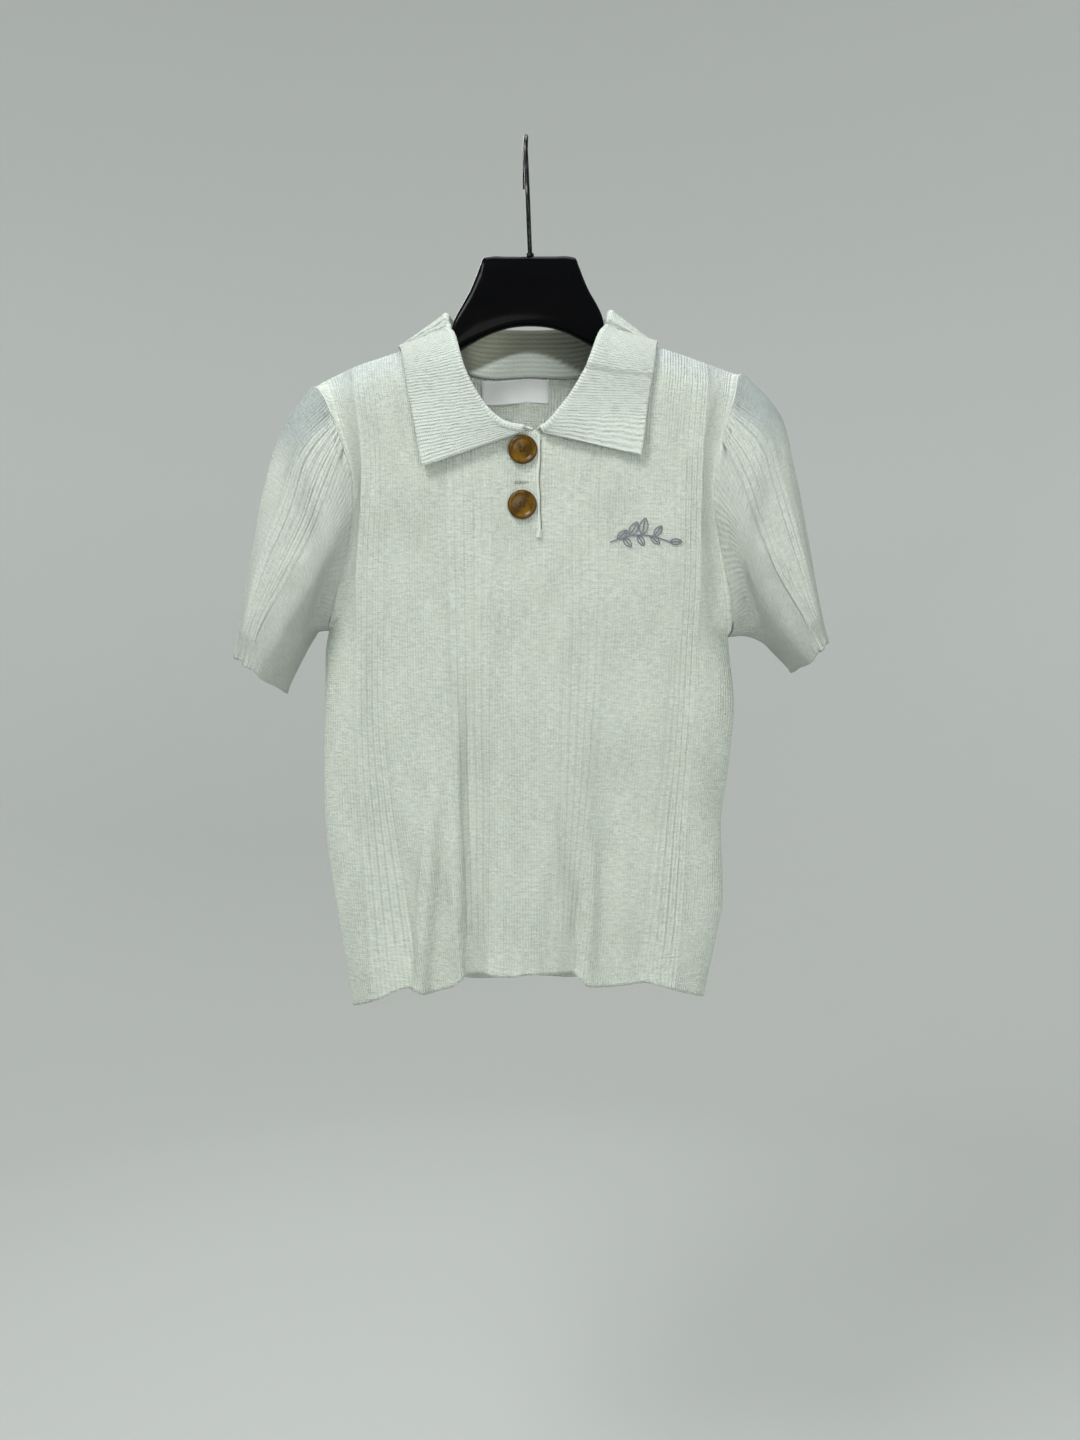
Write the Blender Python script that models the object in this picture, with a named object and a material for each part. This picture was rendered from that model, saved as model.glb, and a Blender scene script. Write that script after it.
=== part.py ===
"""Short sleeve knit polo top on a contoured hanger, hung from its hook.

Metres, +Z up. The origin is the inside top of the hook, where it rests on a rail. +X is the wearer's
left, -Y is the front of the garment. Sides are named for the wearer.
"""

import math

import bmesh
import bpy
import numpy as np

# Driving dimensions of the cloth
CLOTH = 0.0016  # wall of body and sleeves
COLLAR_CLOTH = 0.0022
BAND_CLOTH = 0.0020
LABEL_CLOTH = 0.0010
SEAM_GAP = 0.0003
CAP_GAP = 0.0004
HANG_X = 0.0036  # the garment hangs this far to the side of the hook's top, because the shank leans

# Body: where the side seam ends and the armhole starts, as a share of the panel's edge
UNDERARM_SHARE = 0.58
CROWN_DROP = 0.045  # height over which a panel rounds over the shoulder
SECTION_POWER = 4.0  # how squarely the body's section turns at the side seam
ARMHOLE_DEPTH = 0.033

# Ribs
RIBS_IN_GROUP = 5
BODY_RIB_HEIGHT = 0.0009
SLEEVE_RIBS = 6
SLEEVE_RIB_HEIGHT = 0.0010
SLEEVE_RIB_END = 0.88  # share of the sleeve's length

# Rows of the panel grid, as shares of its edge: side seam first, then the armhole
SEAM_ROWS = (0.0, 0.07, 0.095, 0.17, 0.27, 0.37, 0.47)
RIB_FOOT = (0.07, 0.095)
NOTCH_ROW = 7  # armhole row, counted from the shoulder, at which the placket notch ends
SIDE_CELLS = 4
GAP_CELLS = 4
MIDDLE_CELLS = (2, 2, 2)  # group B to notch, across the notch, notch to group C

# Hem corner, underarm and shoulder tip: (z of corner, z of underarm, z of tip) by wearer's side
EDGE_HEIGHTS = {"right": (-0.7335, -0.4140, -0.2105), "left": (-0.7258, -0.4200, -0.2000)}

# Side seam: share of the way down from the underarm, x of the right side, x of the left side
SIDE_SEAM = (
    (0.00, -0.1701, 0.1680),
    (0.05, -0.1729, 0.1690),
    (0.12, -0.1735, 0.1717),
    (0.20, -0.1738, 0.1734),
    (0.30, -0.1744, 0.1706),
    (0.40, -0.1746, 0.1670),
    (0.50, -0.1737, 0.1625),
    (0.55, -0.1727, 0.1622),
    (0.65, -0.1686, 0.1636),
    (0.75, -0.1635, 0.1634),
    (0.85, -0.1580, 0.1573),
    (1.00, -0.1501, 0.1475),
)

# Armhole: share of the way from tip to underarm, x of the right side, x of the left side
ARMHOLE = (
    (0.0, -0.1850, 0.1820),
    (0.1, -0.1765, 0.1740),
    (0.2, -0.1680, 0.1705),
    (0.3, -0.1590, 0.1635),
    (0.4, -0.1492, 0.1550),
    (0.5, -0.1455, 0.1511),
    (0.6, -0.1492, 0.1562),
    (0.7, -0.1555, 0.1632),
    (0.8, -0.1628, 0.1685),
    (0.9, -0.1680, 0.1698),
    (1.0, -0.1701, 0.1680),
)

# Shoulder line, carried on across the neck: x, z
CROWN = (
    (-0.1850, -0.2105),
    (-0.1769, -0.2058),
    (-0.1658, -0.2005),
    (-0.1556, -0.1955),
    (-0.1394, -0.1893),
    (-0.1258, -0.1855),
    (-0.1000, -0.1772),
    (-0.0735, -0.1685),
    (0.0000, -0.1560),
    (0.0710, -0.1665),
    (0.1000, -0.1746),
    (0.1275, -0.1825),
    (0.1560, -0.1918),
    (0.1750, -0.1980),
    (0.1820, -0.2000),
)

# Necklines of the two panels: x, z
NECK_FRONT = (
    (-0.0735, -0.1685),
    (-0.0722, -0.1890),
    (-0.0685, -0.2080),
    (-0.0600, -0.2290),
    (-0.0430, -0.2470),
    (-0.0217, -0.2550),
    (-0.0066, -0.2562),
    (0.0075, -0.2565),
    (0.0260, -0.2530),
    (0.0430, -0.2450),
    (0.0585, -0.2270),
    (0.0668, -0.2060),
    (0.0700, -0.1860),
    (0.0710, -0.1665),
)
NECK_BACK = (
    (-0.0735, -0.1685),
    (-0.0690, -0.1780),
    (-0.0610, -0.1855),
    (-0.0525, -0.1885),
    (0.0000, -0.1892),
    (0.0500, -0.1882),
    (0.0590, -0.1850),
    (0.0665, -0.1765),
    (0.0710, -0.1665),
)

# Hems: x, z
HEM_FRONT = (
    (-0.1501, -0.7335),
    (-0.1243, -0.7244),
    (-0.1020, -0.7142),
    (-0.0933, -0.7146),
    (-0.0873, -0.7172),
    (-0.0726, -0.7147),
    (-0.0629, -0.7111),
    (-0.0560, -0.7050),
    (-0.0443, -0.7019),
    (-0.0211, -0.7055),
    (0.0000, -0.7030),
    (0.0258, -0.7007),
    (0.0375, -0.7010),
    (0.0440, -0.7095),
    (0.0514, -0.7121),
    (0.0636, -0.7124),
    (0.0989, -0.7097),
    (0.1194, -0.7162),
    (0.1475, -0.7258),
)
HEM_BACK = (
    (-0.1501, -0.7335),
    (-0.1150, -0.7230),
    (-0.0700, -0.7160),
    (-0.0350, -0.7190),
    (0.0000, -0.7150),
    (0.0450, -0.7180),
    (0.0800, -0.7150),
    (0.1150, -0.7190),
    (0.1475, -0.7258),
)

# Half depth of the body: z, front, back
BODY_DEPTH = (
    (-0.7400, 0.0280, 0.0290),
    (-0.6000, 0.0300, 0.0310),
    (-0.5000, 0.0320, 0.0330),
    (-0.4200, 0.0345, 0.0350),
    (-0.3300, 0.0375, 0.0380),
    (-0.2500, 0.0400, 0.0400),
    (-0.1500, 0.0400, 0.0420),
)

# Edges of the four rib groups A to D: panel share, then the two edges of each group in x
RIB_GROUPS = (
    (0.00, -0.1310, -0.0930, -0.0540, -0.0355, 0.0215, 0.0365, 0.0895, 0.1210),
    (0.07, -0.1340, -0.0977, -0.0557, -0.0351, 0.0225, 0.0398, 0.0934, 0.1247),
    (0.40, -0.1440, -0.1200, -0.0635, -0.0335, 0.0255, 0.0570, 0.1130, 0.1350),
    (0.60, -0.1440, -0.1200, -0.0670, -0.0320, 0.0273, 0.0630, 0.1190, 0.1400),
    (0.85, -0.1390, -0.1190, -0.0700, -0.0310, 0.0273, 0.0655, 0.1220, 0.1430),
    (1.00, -0.1500, -0.1290, -0.0735, -0.0360, 0.0310, 0.0710, 0.1290, 0.1500),
)

# Soft folds: x and z of the top, x and z of the foot, half width, height (troughs are negative),
# and 1 where the fold runs out at its foot
FOLDS_FRONT = (
    (-0.0700, -0.3800, -0.0740, -0.5200, 0.0150, 0.0030, 1),
    (-0.0740, -0.5000, -0.0920, -0.7250, 0.0085, 0.0060, 0),
    (-0.0620, -0.4300, -0.0600, -0.7150, 0.0070, 0.0045, 0),
    (-0.0490, -0.4300, -0.0460, -0.7150, 0.0110, -0.0050, 0),
    (0.0640, -0.3900, 0.0350, -0.7150, 0.0130, 0.0050, 0),
    (0.0800, -0.4300, 0.0520, -0.7150, 0.0120, -0.0030, 0),
    (0.1352, -0.4500, 0.1540, -0.5850, 0.0080, 0.0055, 1),
    (0.1180, -0.5000, 0.1320, -0.6400, 0.0160, -0.0035, 1),
    (-0.1420, -0.4550, -0.1660, -0.5450, 0.0090, 0.0045, 1),
    (-0.1300, -0.5200, -0.1240, -0.7250, 0.0180, -0.0030, 0),
    (0.1040, -0.5600, 0.1000, -0.7150, 0.0140, 0.0030, 0),
    (0.0574, -0.2850, 0.0300, -0.3250, 0.0045, -0.0014, 1),
    (0.0300, -0.3200, 0.0130, -0.3680, 0.0045, -0.0014, 1),
)
FOLDS_BACK = (
    (-0.0900, -0.3600, -0.1040, -0.7250, 0.0150, 0.0050, 0),
    (-0.0600, -0.4200, -0.0700, -0.7250, 0.0150, -0.0045, 0),
    (-0.0200, -0.4000, -0.0300, -0.7250, 0.0160, 0.0040, 0),
    (0.0400, -0.3800, 0.0460, -0.7250, 0.0140, 0.0055, 0),
    (0.0750, -0.4300, 0.0800, -0.7250, 0.0160, -0.0040, 0),
    (0.1250, -0.4500, 0.1180, -0.7250, 0.0130, 0.0045, 0),
    (-0.1350, -0.4400, -0.1560, -0.5600, 0.0100, 0.0040, 1),
    (0.1350, -0.4300, 0.1560, -0.5400, 0.0100, 0.0040, 1),
)

# Sleeve guide lines, from the cap seam to the cuff. The crown and underarm lines are at y = 0.
# Columns: share of the length, crown x z, first rib x y z, last rib x y z, low line x y z, under x z
SLEEVES = {
    "right": (
        (0.2, -0.2118, -0.2505, -0.1910, 0.0330, -0.2700, -0.1640, 0.0380, -0.3070,
         -0.1690, 0.0340, -0.3830, -0.1810, -0.4165),
        (0.4, -0.2250, -0.2995, -0.2030, 0.0370, -0.3140, -0.1780, 0.0430, -0.3448,
         -0.1800, 0.0380, -0.3990, -0.1890, -0.4240),
        (0.6, -0.2340, -0.3490, -0.2200, 0.0350, -0.3560, -0.1965, 0.0440, -0.3815,
         -0.1930, 0.0390, -0.4180, -0.1965, -0.4370),
        (0.8, -0.2415, -0.3970, -0.2320, 0.0310, -0.4010, -0.2165, 0.0420, -0.4140,
         -0.2060, 0.0360, -0.4390, -0.2035, -0.4525),
        (1.0, -0.2480, -0.4385, -0.2400, 0.0290, -0.4420, -0.2295, 0.0400, -0.4490,
         -0.2180, 0.0340, -0.4590, -0.2095, -0.4690),
    ),
    "left": (
        (0.2, 0.2120, -0.2350, 0.1965, 0.0330, -0.2570, 0.1730, 0.0380, -0.2990,
         0.1765, 0.0340, -0.3800, 0.1825, -0.4195),
        (0.4, 0.2245, -0.2806, 0.2085, 0.0370, -0.3010, 0.1856, 0.0430, -0.3361,
         0.1860, 0.0390, -0.3940, 0.1960, -0.4240),
        (0.6, 0.2325, -0.3286, 0.2205, 0.0360, -0.3440, 0.1995, 0.0450, -0.3722,
         0.1980, 0.0410, -0.4090, 0.2070, -0.4310),
        (0.8, 0.2410, -0.3770, 0.2320, 0.0340, -0.3890, 0.2175, 0.0440, -0.4030,
         0.2120, 0.0390, -0.4260, 0.2170, -0.4400),
        (1.0, 0.2490, -0.4250, 0.2430, 0.0330, -0.4290, 0.2360, 0.0440, -0.4360,
         0.2300, 0.0370, -0.4440, 0.2270, -0.4500),
    ),
}
# Armhole shares at which the guide lines start, and their places round the sleeve
GUIDE_STARTS = (0.0, 0.24, 0.36, 0.74, 1.0)
GUIDE_AROUND = (0.0, 0.12, 0.26, 0.40, 0.5)
GUIDE_CELLS = (4, 2 * SLEEVE_RIBS, 3, 3)  # columns of the sleeve between its guide lines
ROW_STEPS = (1, SLEEVE_RIBS, 1, 1)  # every so many of those columns meets a row of the body
SLEEVE_ROWS = 12
CAP_FADE = 2.0  # how fast the cap's exact edge gives way to the guide lines
CUFF_WAVE = 0.0012
CUFF_WAVES = 7

# Collar, from the right front end round the back to the left front end. Columns: share, seam x,
# fold x y z, leaf edge x y z
COLLAR = (
    (0.00, 0.0030, -0.0045, -0.0460, -0.2532, -0.0870, -0.0450, -0.2872),
    (0.06, -0.0130, -0.0185, -0.0452, -0.2502, -0.0902, -0.0450, -0.2700),
    (0.12, -0.0325, -0.0318, -0.0430, -0.2408, -0.0935, -0.0440, -0.2510),
    (0.18, -0.0500, -0.0437, -0.0390, -0.2254, -0.0972, -0.0415, -0.2320),
    (0.24, -0.0625, -0.0537, -0.0310, -0.2049, -0.1012, -0.0350, -0.2120),
    (0.30, -0.0702, -0.0622, -0.0180, -0.1790, -0.1062, -0.0230, -0.1920),
    (0.36, -0.0733, -0.0688, 0.0020, -0.1478, -0.1114, 0.0000, -0.1760),
    (0.42, -0.0680, -0.0645, 0.0270, -0.1432, -0.1040, 0.0330, -0.1830),
    (0.46, -0.0500, -0.0475, 0.0415, -0.1432, -0.0700, 0.0490, -0.1960),
    (0.50, 0.0000, 0.0000, 0.0480, -0.1434, 0.0000, 0.0540, -0.2000),
    (0.54, 0.0490, 0.0465, 0.0415, -0.1430, 0.0680, 0.0490, -0.1950),
    (0.58, 0.0655, 0.0620, 0.0270, -0.1425, 0.1010, 0.0330, -0.1810),
    (0.64, 0.0708, 0.0660, 0.0020, -0.1448, 0.1082, 0.0000, -0.1745),
    (0.70, 0.0690, 0.0592, -0.0170, -0.1735, 0.1045, -0.0230, -0.1900),
    (0.76, 0.0620, 0.0485, -0.0310, -0.2008, 0.1010, -0.0350, -0.2090),
    (0.82, 0.0490, 0.0345, -0.0400, -0.2260, 0.0975, -0.0415, -0.2280),
    (0.88, 0.0325, 0.0212, -0.0440, -0.2430, 0.0950, -0.0435, -0.2450),
    (0.94, 0.0175, 0.0138, -0.0455, -0.2505, 0.0930, -0.0445, -0.2620),
    (1.00, 0.0062, 0.0080, -0.0460, -0.2542, 0.0911, -0.0445, -0.2779),
)
COLLAR_ON_FRONT = (0.36, 0.64)  # the front panel is under the seam outside these shares
COLLAR_STATIONS = 44
STAND_CELLS = 2
FOLD_CELLS = 4
LEAF_CELLS = 5
FOLD_RADIUS = 0.0026
LEAF_LIFT = 0.0034  # least distance of the leaf's middle surface from the body
FOOT_LIFT = 0.0018
FOOT_WIDTH = 0.975  # the foot sits inside the neckline at the sides

# Placket and buttons
BAND_LEFT = -0.0217  # x of the notch's edges
BAND_RIGHT = 0.0075
UNDER_BAND = (-0.0190, 0.0110)
UNDER_BAND_LAP = 0.002  # below the notch's foot
UNDER_BAND_DROP = 0.001  # of its top, under the collar
BAND_CELLS = (6, 8)
BAND_PROUD = 0.0004
BUTTON_RADIUS = 0.0119
BUTTON_THICK = 0.0042
BUTTONS = (("button_upper", -0.0056, -0.2723), ("button_lower", -0.0060, -0.3167))
# Turned profile of a button: share of the radius, share of the thickness above the back
BUTTON_PROFILE = (
    (0.00, 0.00), (0.78, 0.00), (0.97, 0.26), (1.00, 0.55), (0.94, 0.88), (0.84, 1.00),
    (0.72, 0.92), (0.62, 0.66), (0.34, 0.58), (0.00, 0.56),
)
BUTTON_SIDES = 28

# Neck label, inside the back
LABEL_SIZE = (0.0600, 0.0215)
LABEL_X = -0.0132
LABEL_DROP = 0.0008  # below the neck seam
LABEL_CELLS = (8, 4)

# Hanger body. Columns: x of the right half and of the left half, z of top, z of underside, half depth
HANGER = (
    (0.0000, 0.0000, -0.0985, -0.1570, 0.0070),
    (-0.0200, 0.0200, -0.0985, -0.1592, 0.0071),
    (-0.0340, 0.0335, -0.0986, -0.1640, 0.0073),
    (-0.0395, 0.0385, -0.1000, -0.1665, 0.0074),
    (-0.0422, 0.0412, -0.1060, -0.1678, 0.0074),
    (-0.0460, 0.0450, -0.1160, -0.1700, 0.0075),
    (-0.0510, 0.0502, -0.1280, -0.1728, 0.0077),
    (-0.0572, 0.0567, -0.1395, -0.1768, 0.0080),
    (-0.0625, 0.0610, -0.1490, -0.1812, 0.0081),
    (-0.0655, 0.0630, -0.1580, -0.1850, 0.0080),
    (-0.0673, 0.0641, -0.1660, -0.1880, 0.0074),
    (-0.0686, 0.0657, -0.1745, -0.1905, 0.0060),
)
ARM_STATIONS = (0.08, 0.20, 0.38, 0.58, 0.76, 0.88, 0.95, 0.985, 1.0)
ARM_TIP = {"right": -0.1765, "left": 0.1735}
ARM_HEIGHT = 0.030
ARM_HALF_DEPTH = (0.0062, 0.0190)  # at the neck, at the widest
ARM_CLEARANCE = 0.0006
CROWN_RADIUS = 0.035  # of the section that the cloth makes over the arm
HANGER_SIDES = 16
HANGER_POWER = 3.0

# Hook: wire and its route in y and z
WIRE_RADIUS = 0.0020
HOOK_RADIUS = 0.0145  # of the wire's middle, round the rail
HOOK_TAIL = 0.020  # free end below the curl
SHANK_FOOT_Z = -0.0981
HOOK_TURN = math.radians(4.0)  # the curl's plane, turned about the vertical
# The shank: share of the curl's radius that it has come forward, z
HOOK_LEG = (
    (-0.02, -0.089),
    (-0.30, -0.078),
    (-0.78, -0.066),
    (-0.98, -0.057),
    (-1.00, -0.045),
    (-1.00, -0.028),
)
ARC_STEPS = 10


def smooth(knots, values, at):
    """A cubic curve through a table's rows, held at both ends."""
    knots = np.asarray(knots, float)
    values = np.asarray(values, float)
    slopes = np.gradient(values, knots)
    at = np.clip(at, knots[0], knots[-1])
    row = np.clip(np.searchsorted(knots, at, side="right") - 1, 0, len(knots) - 2)
    step = knots[row + 1] - knots[row]
    q = (at - knots[row]) / step
    start = (1 + 2 * q) * (1 - q) ** 2 * values[row] + q * (1 - q) ** 2 * step * slopes[row]
    end = q * q * (3 - 2 * q) * values[row + 1] - q * q * (1 - q) * step * slopes[row + 1]
    return start + end


def table(rows, column, at):
    """A column of a table, read at any value of its first column."""
    return smooth([row[0] for row in rows], [row[column] for row in rows], at)


def ease(low, high, value):
    """A smooth step from 0 at low to 1 at high."""
    q = np.clip((value - low) / (high - low), 0.0, 1.0)
    return q * q * (3 - 2 * q)


def unit(vectors):
    return vectors / np.linalg.norm(vectors, axis=-1, keepdims=True)


# ---------------------------------------------------------------- body panels


def armhole_point(side, face, share):
    """A point of the armhole seam. share runs from the shoulder tip (0) to the underarm (1)."""
    share = np.asarray(share, float)
    _, under, tip = EDGE_HEIGHTS[side]
    x = table(ARMHOLE, 1 if side == "right" else 2, share)
    depth = ARMHOLE_DEPTH * np.abs(np.sin(math.pi * share)) ** 0.8 + SEAM_GAP / 2
    z = (tip + under) / 2 + (tip - under) / 2 * np.cos(math.pi * share)
    return np.stack([x, face * depth, z], axis=-1)


def edge_point(side, share):
    """x and z of a panel's edge, from the hem corner (0) to the shoulder tip (1)."""
    corner, under, _ = EDGE_HEIGHTS[side]
    down = 1 - np.clip(share / UNDERARM_SHARE, 0, 1)
    seam_x = table(SIDE_SEAM, 1 if side == "right" else 2, down)
    seam_z = under + (corner - under) * down
    hole = armhole_point(side, 1, np.clip((1 - share) / (1 - UNDERARM_SHARE), 0, 1))
    on_seam = share <= UNDERARM_SHARE
    return np.where(on_seam, seam_x, hole[..., 0]), np.where(on_seam, seam_z, hole[..., 2])


def edge_at_height(side, z):
    """x and depth of a panel's edge at a height."""
    corner, under, tip = EDGE_HEIGHTS[side]
    down = np.clip((under - z) / (under - corner), 0, 1)
    middle = (tip + under) / 2
    share = np.arccos(np.clip((z - middle) / (tip - middle), -1, 1)) / math.pi
    hole = armhole_point(side, 1, share)
    seam_x = table(SIDE_SEAM, 1 if side == "right" else 2, down)
    below = z <= under
    return np.where(below, seam_x, hole[..., 0]), np.where(below, SEAM_GAP / 2, hole[..., 1])


def fold_height(folds, x, z):
    """How far the soft folds push the cloth out at x, z."""
    total = np.zeros(np.broadcast(x, z).shape)
    for top_x, top_z, foot_x, foot_z, width, height, runs_out in folds:
        along_x, along_z = foot_x - top_x, foot_z - top_z
        length = math.hypot(along_x, along_z)
        share = ((x - top_x) * along_x + (z - top_z) * along_z) / length**2
        off = ((x - top_x) * along_z - (z - top_z) * along_x) / length
        swell = ease(0.0, 0.45, share) * (1 - runs_out * ease(0.55, 1.0, share))
        total = total + height * swell * np.exp(-((off / width) ** 2))
    return total


def body_depth(face, x, z):
    """How far the cloth lies from the middle plane at x, z."""
    right_x, right_depth = edge_at_height("right", z)
    left_x, left_depth = edge_at_height("left", z)
    across = np.clip((x - right_x) / (left_x - right_x), 0, 1)
    edge = right_depth + (left_depth - right_depth) * across
    under = EDGE_HEIGHTS["right"][1]
    blunt = 0.5 + 0.5 * ease(under - 0.02, under + 0.06, z)
    round_side = (1 - np.abs(2 * across - 1) ** SECTION_POWER) ** blunt
    drop = np.clip((table(CROWN, 1, x) - z) / CROWN_DROP, 0, 1)
    round_top = np.sqrt(1 - (1 - drop) ** 2)
    full = table(BODY_DEPTH, 1 if face < 0 else 2, z)
    folds = fold_height(FOLDS_FRONT if face < 0 else FOLDS_BACK, x, z)
    depth = edge * (1 - round_side) + (full + folds) * round_top * round_side
    return np.maximum(depth, SEAM_GAP / 2)


def neckline(face, x):
    return table(NECK_FRONT if face < 0 else NECK_BACK, 1, x)


def panel_top(face, x):
    """z of a panel's top edge: shoulder, neckline, shoulder."""
    on_neck = (x > NECK_FRONT[0][0]) & (x < NECK_FRONT[-1][0])
    return np.where(on_neck, neckline(face, x), table(CROWN, 1, x))


def column_knots(share):
    """x of the panel's edges, its rib groups and its notch at one panel share."""
    groups = [table(RIB_GROUPS, column, share) for column in range(1, 9)]
    right = edge_point("right", share)[0]
    left = edge_point("left", share)[0]
    return [right, *groups[:4], BAND_LEFT, BAND_RIGHT, *groups[4:], left]


def panel_cells():
    ribs = 2 * RIBS_IN_GROUP
    return [SIDE_CELLS, ribs, GAP_CELLS, ribs, *MIDDLE_CELLS, ribs, GAP_CELLS, ribs, SIDE_CELLS]


def panel_columns(share):
    """x of every grid column at one panel share."""
    knots = column_knots(share)
    cells = panel_cells()
    side_power = 2.0 - ease(UNDERARM_SHARE - 0.08, UNDERARM_SHARE + 0.06, share)
    columns = []
    for index, count in enumerate(cells):
        q = np.arange(count) / count
        if index == 0:
            q = q**side_power
        if index == len(cells) - 1:
            q = 1 - (1 - q) ** side_power
        columns.extend(knots[index] + (knots[index + 1] - knots[index]) * q)
    columns.append(knots[-1])
    return np.array(columns)


def panel_rib_columns():
    """1 at each column on top of a rib, 0 elsewhere."""
    ridge = []
    for index, count in enumerate(panel_cells()):
        ribbed = index in (1, 3, 7, 9)
        ridge.extend([float(ribbed and k % 2 == 1) for k in range(count)])
    ridge.append(0.0)
    return np.array(ridge)


def armhole_rows():
    """Armhole shares of the body's rows, which are also columns of the sleeve."""
    shares = []
    for index, (count, step) in enumerate(zip(GUIDE_CELLS, ROW_STEPS)):
        start, end = GUIDE_STARTS[index : index + 2]
        shares.extend(start + (end - start) * np.arange(0, count, step) / count)
    return np.array([*shares, 1.0])


def panel_rows():
    return np.concatenate([SEAM_ROWS, 1 - (1 - UNDERARM_SHARE) * armhole_rows()[::-1]])


def notch_row():
    return len(panel_rows()) - 1 - NOTCH_ROW


def edge_line(x, share):
    """z of the straight line between the panel's two edges at one panel share."""
    right_z = edge_point("right", share)[1]
    left_z = edge_point("left", share)[1]
    return right_z + (left_z - right_z) * (x - x[0]) / (x[-1] - x[0])


def panel_points(face, rows):
    """The panel's smooth face, a row of points for each panel share.

    A row leaves the straight line between its ends as the hem and the top edge do, more like the one
    that it is nearer to.
    """
    hem = HEM_FRONT if face < 0 else HEM_BACK
    foot_x, top_x = panel_columns(0.0), panel_columns(1.0)
    foot_line, top_line = edge_line(foot_x, 0.0), edge_line(top_x, 1.0)
    foot_bow = table(hem, 1, foot_x) - foot_line
    top_bow = panel_top(face, top_x) - top_line
    points = []
    for share in rows:
        x = panel_columns(share)
        line = edge_line(x, share)
        risen = (line[0] + line[-1] - foot_line[0] - foot_line[-1]) / (
            top_line[0] + top_line[-1] - foot_line[0] - foot_line[-1]
        )
        z = line + (1 - risen) * foot_bow + risen * top_bow
        points.append(np.stack([x, face * body_depth(face, x, z), z], axis=-1))
    return np.array(points)


def grid_normals(points, flip, wrapped=False):
    """Unit normals of a grid, from the slopes along its rows and columns."""
    up = np.gradient(points, axis=0)
    if wrapped:
        across = np.roll(points, -1, axis=1) - np.roll(points, 1, axis=1)
    else:
        across = np.gradient(points, axis=1)
    return unit(np.cross(across, up) * (-1.0 if flip else 1.0))


def panel_normals(face, points, rows):
    """Normals that lie in the seam's plane along the side seams and the shoulder seams."""
    normals = grid_normals(points, flip=face > 0)
    on_seam = rows <= UNDERARM_SHARE + 1e-6
    normals[on_seam, 0] = (-1.0, 0.0, 0.0)
    normals[on_seam, -1] = (1.0, 0.0, 0.0)
    x = points[-1, :, 0]
    shoulder = (x <= NECK_FRONT[0][0] + 1e-6) | (x >= NECK_FRONT[-1][0] - 1e-6)
    normals[-1, shoulder, 1] = 0.0
    return unit(normals)


def rib_heights(rows):
    """Rib height by row: ribs stop above a plain hem."""
    return BODY_RIB_HEIGHT * np.clip((rows - RIB_FOOT[0]) / (RIB_FOOT[1] - RIB_FOOT[0]), 0, 1)


def panel_walls(face):
    """Outer and inner points of one body panel, and its normals along the edges."""
    rows = panel_rows()
    points = panel_points(face, rows)
    normals = panel_normals(face, points, rows)
    relief = rib_heights(rows)[:, None] * panel_rib_columns()[None, :]
    outer = points + normals * relief[..., None]
    inner = points - normals * CLOTH
    return outer, inner, normals


# ---------------------------------------------------------------- mesh helpers


def material(name, colour, roughness, metallic=0.0):
    made = bpy.data.materials.new(name)
    made.use_nodes = True
    shader = made.node_tree.nodes["Principled BSDF"]
    shader.inputs["Base Color"].default_value = (*colour, 1.0)
    shader.inputs["Roughness"].default_value = roughness
    shader.inputs["Metallic"].default_value = metallic
    made.diffuse_color = (*colour, 1.0)
    return made


def new_object(name, mesh_builder, made_of, place=(HANG_X, 0.0, 0.0)):
    """An object from a bmesh, its faces turned out and shaded smooth."""
    bmesh.ops.recalc_face_normals(mesh_builder, faces=mesh_builder.faces)
    mesh = bpy.data.meshes.new(name)
    mesh_builder.to_mesh(mesh)
    mesh_builder.free()
    mesh.shade_smooth()
    mesh.set_sharp_from_angle(angle=math.radians(50))
    made = bpy.data.objects.new(name, mesh)
    made.location = place
    mesh.materials.append(made_of)
    bpy.context.scene.collection.objects.link(made)
    return made


def wall(name, outer, inner, made_of, wrapped=False, notch=()):
    """One closed cloth wall. The plain inside has every second column of the outside.

    notch lists the cells that are left out, as (row, pair of columns).
    """
    builder = bmesh.new()
    row_count, column_count = outer.shape[:2]
    out = [[builder.verts.new(point) for point in row] for row in outer]
    inn = [[builder.verts.new(point) for point in row[::2]] for row in inner]
    pairs = column_count // 2
    if wrapped:
        out = [row + row[:1] for row in out]
        inn = [row + row[:1] for row in inn]
    cells = {(r, k) for r in range(row_count - 1) for k in range(pairs)} - set(notch)
    for r, k in cells:
        c = 2 * k
        for left in (c, c + 1):
            builder.faces.new((out[r][left], out[r][left + 1], out[r + 1][left + 1], out[r + 1][left]))
        builder.faces.new((inn[r][k], inn[r + 1][k], inn[r + 1][k + 1], inn[r][k + 1]))
        for row, neighbour in ((r, (r - 1, k)), (r + 1, (r + 1, k))):
            if neighbour not in cells:
                builder.faces.new(
                    (out[row][c], out[row][c + 1], out[row][c + 2], inn[row][k + 1], inn[row][k])
                )
        for side, neighbour in ((0, k - 1), (1, k + 1)):
            if wrapped:
                neighbour %= pairs
            if (r, neighbour) not in cells:
                fine, coarse = c + 2 * side, k + side
                builder.faces.new(
                    (out[r][fine], out[r + 1][fine], inn[r + 1][coarse], inn[r][coarse])
                )
    for loose in [vertex for vertex in builder.verts if not vertex.link_faces]:
        builder.verts.remove(loose)
    return new_object(name, builder, made_of)


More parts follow.
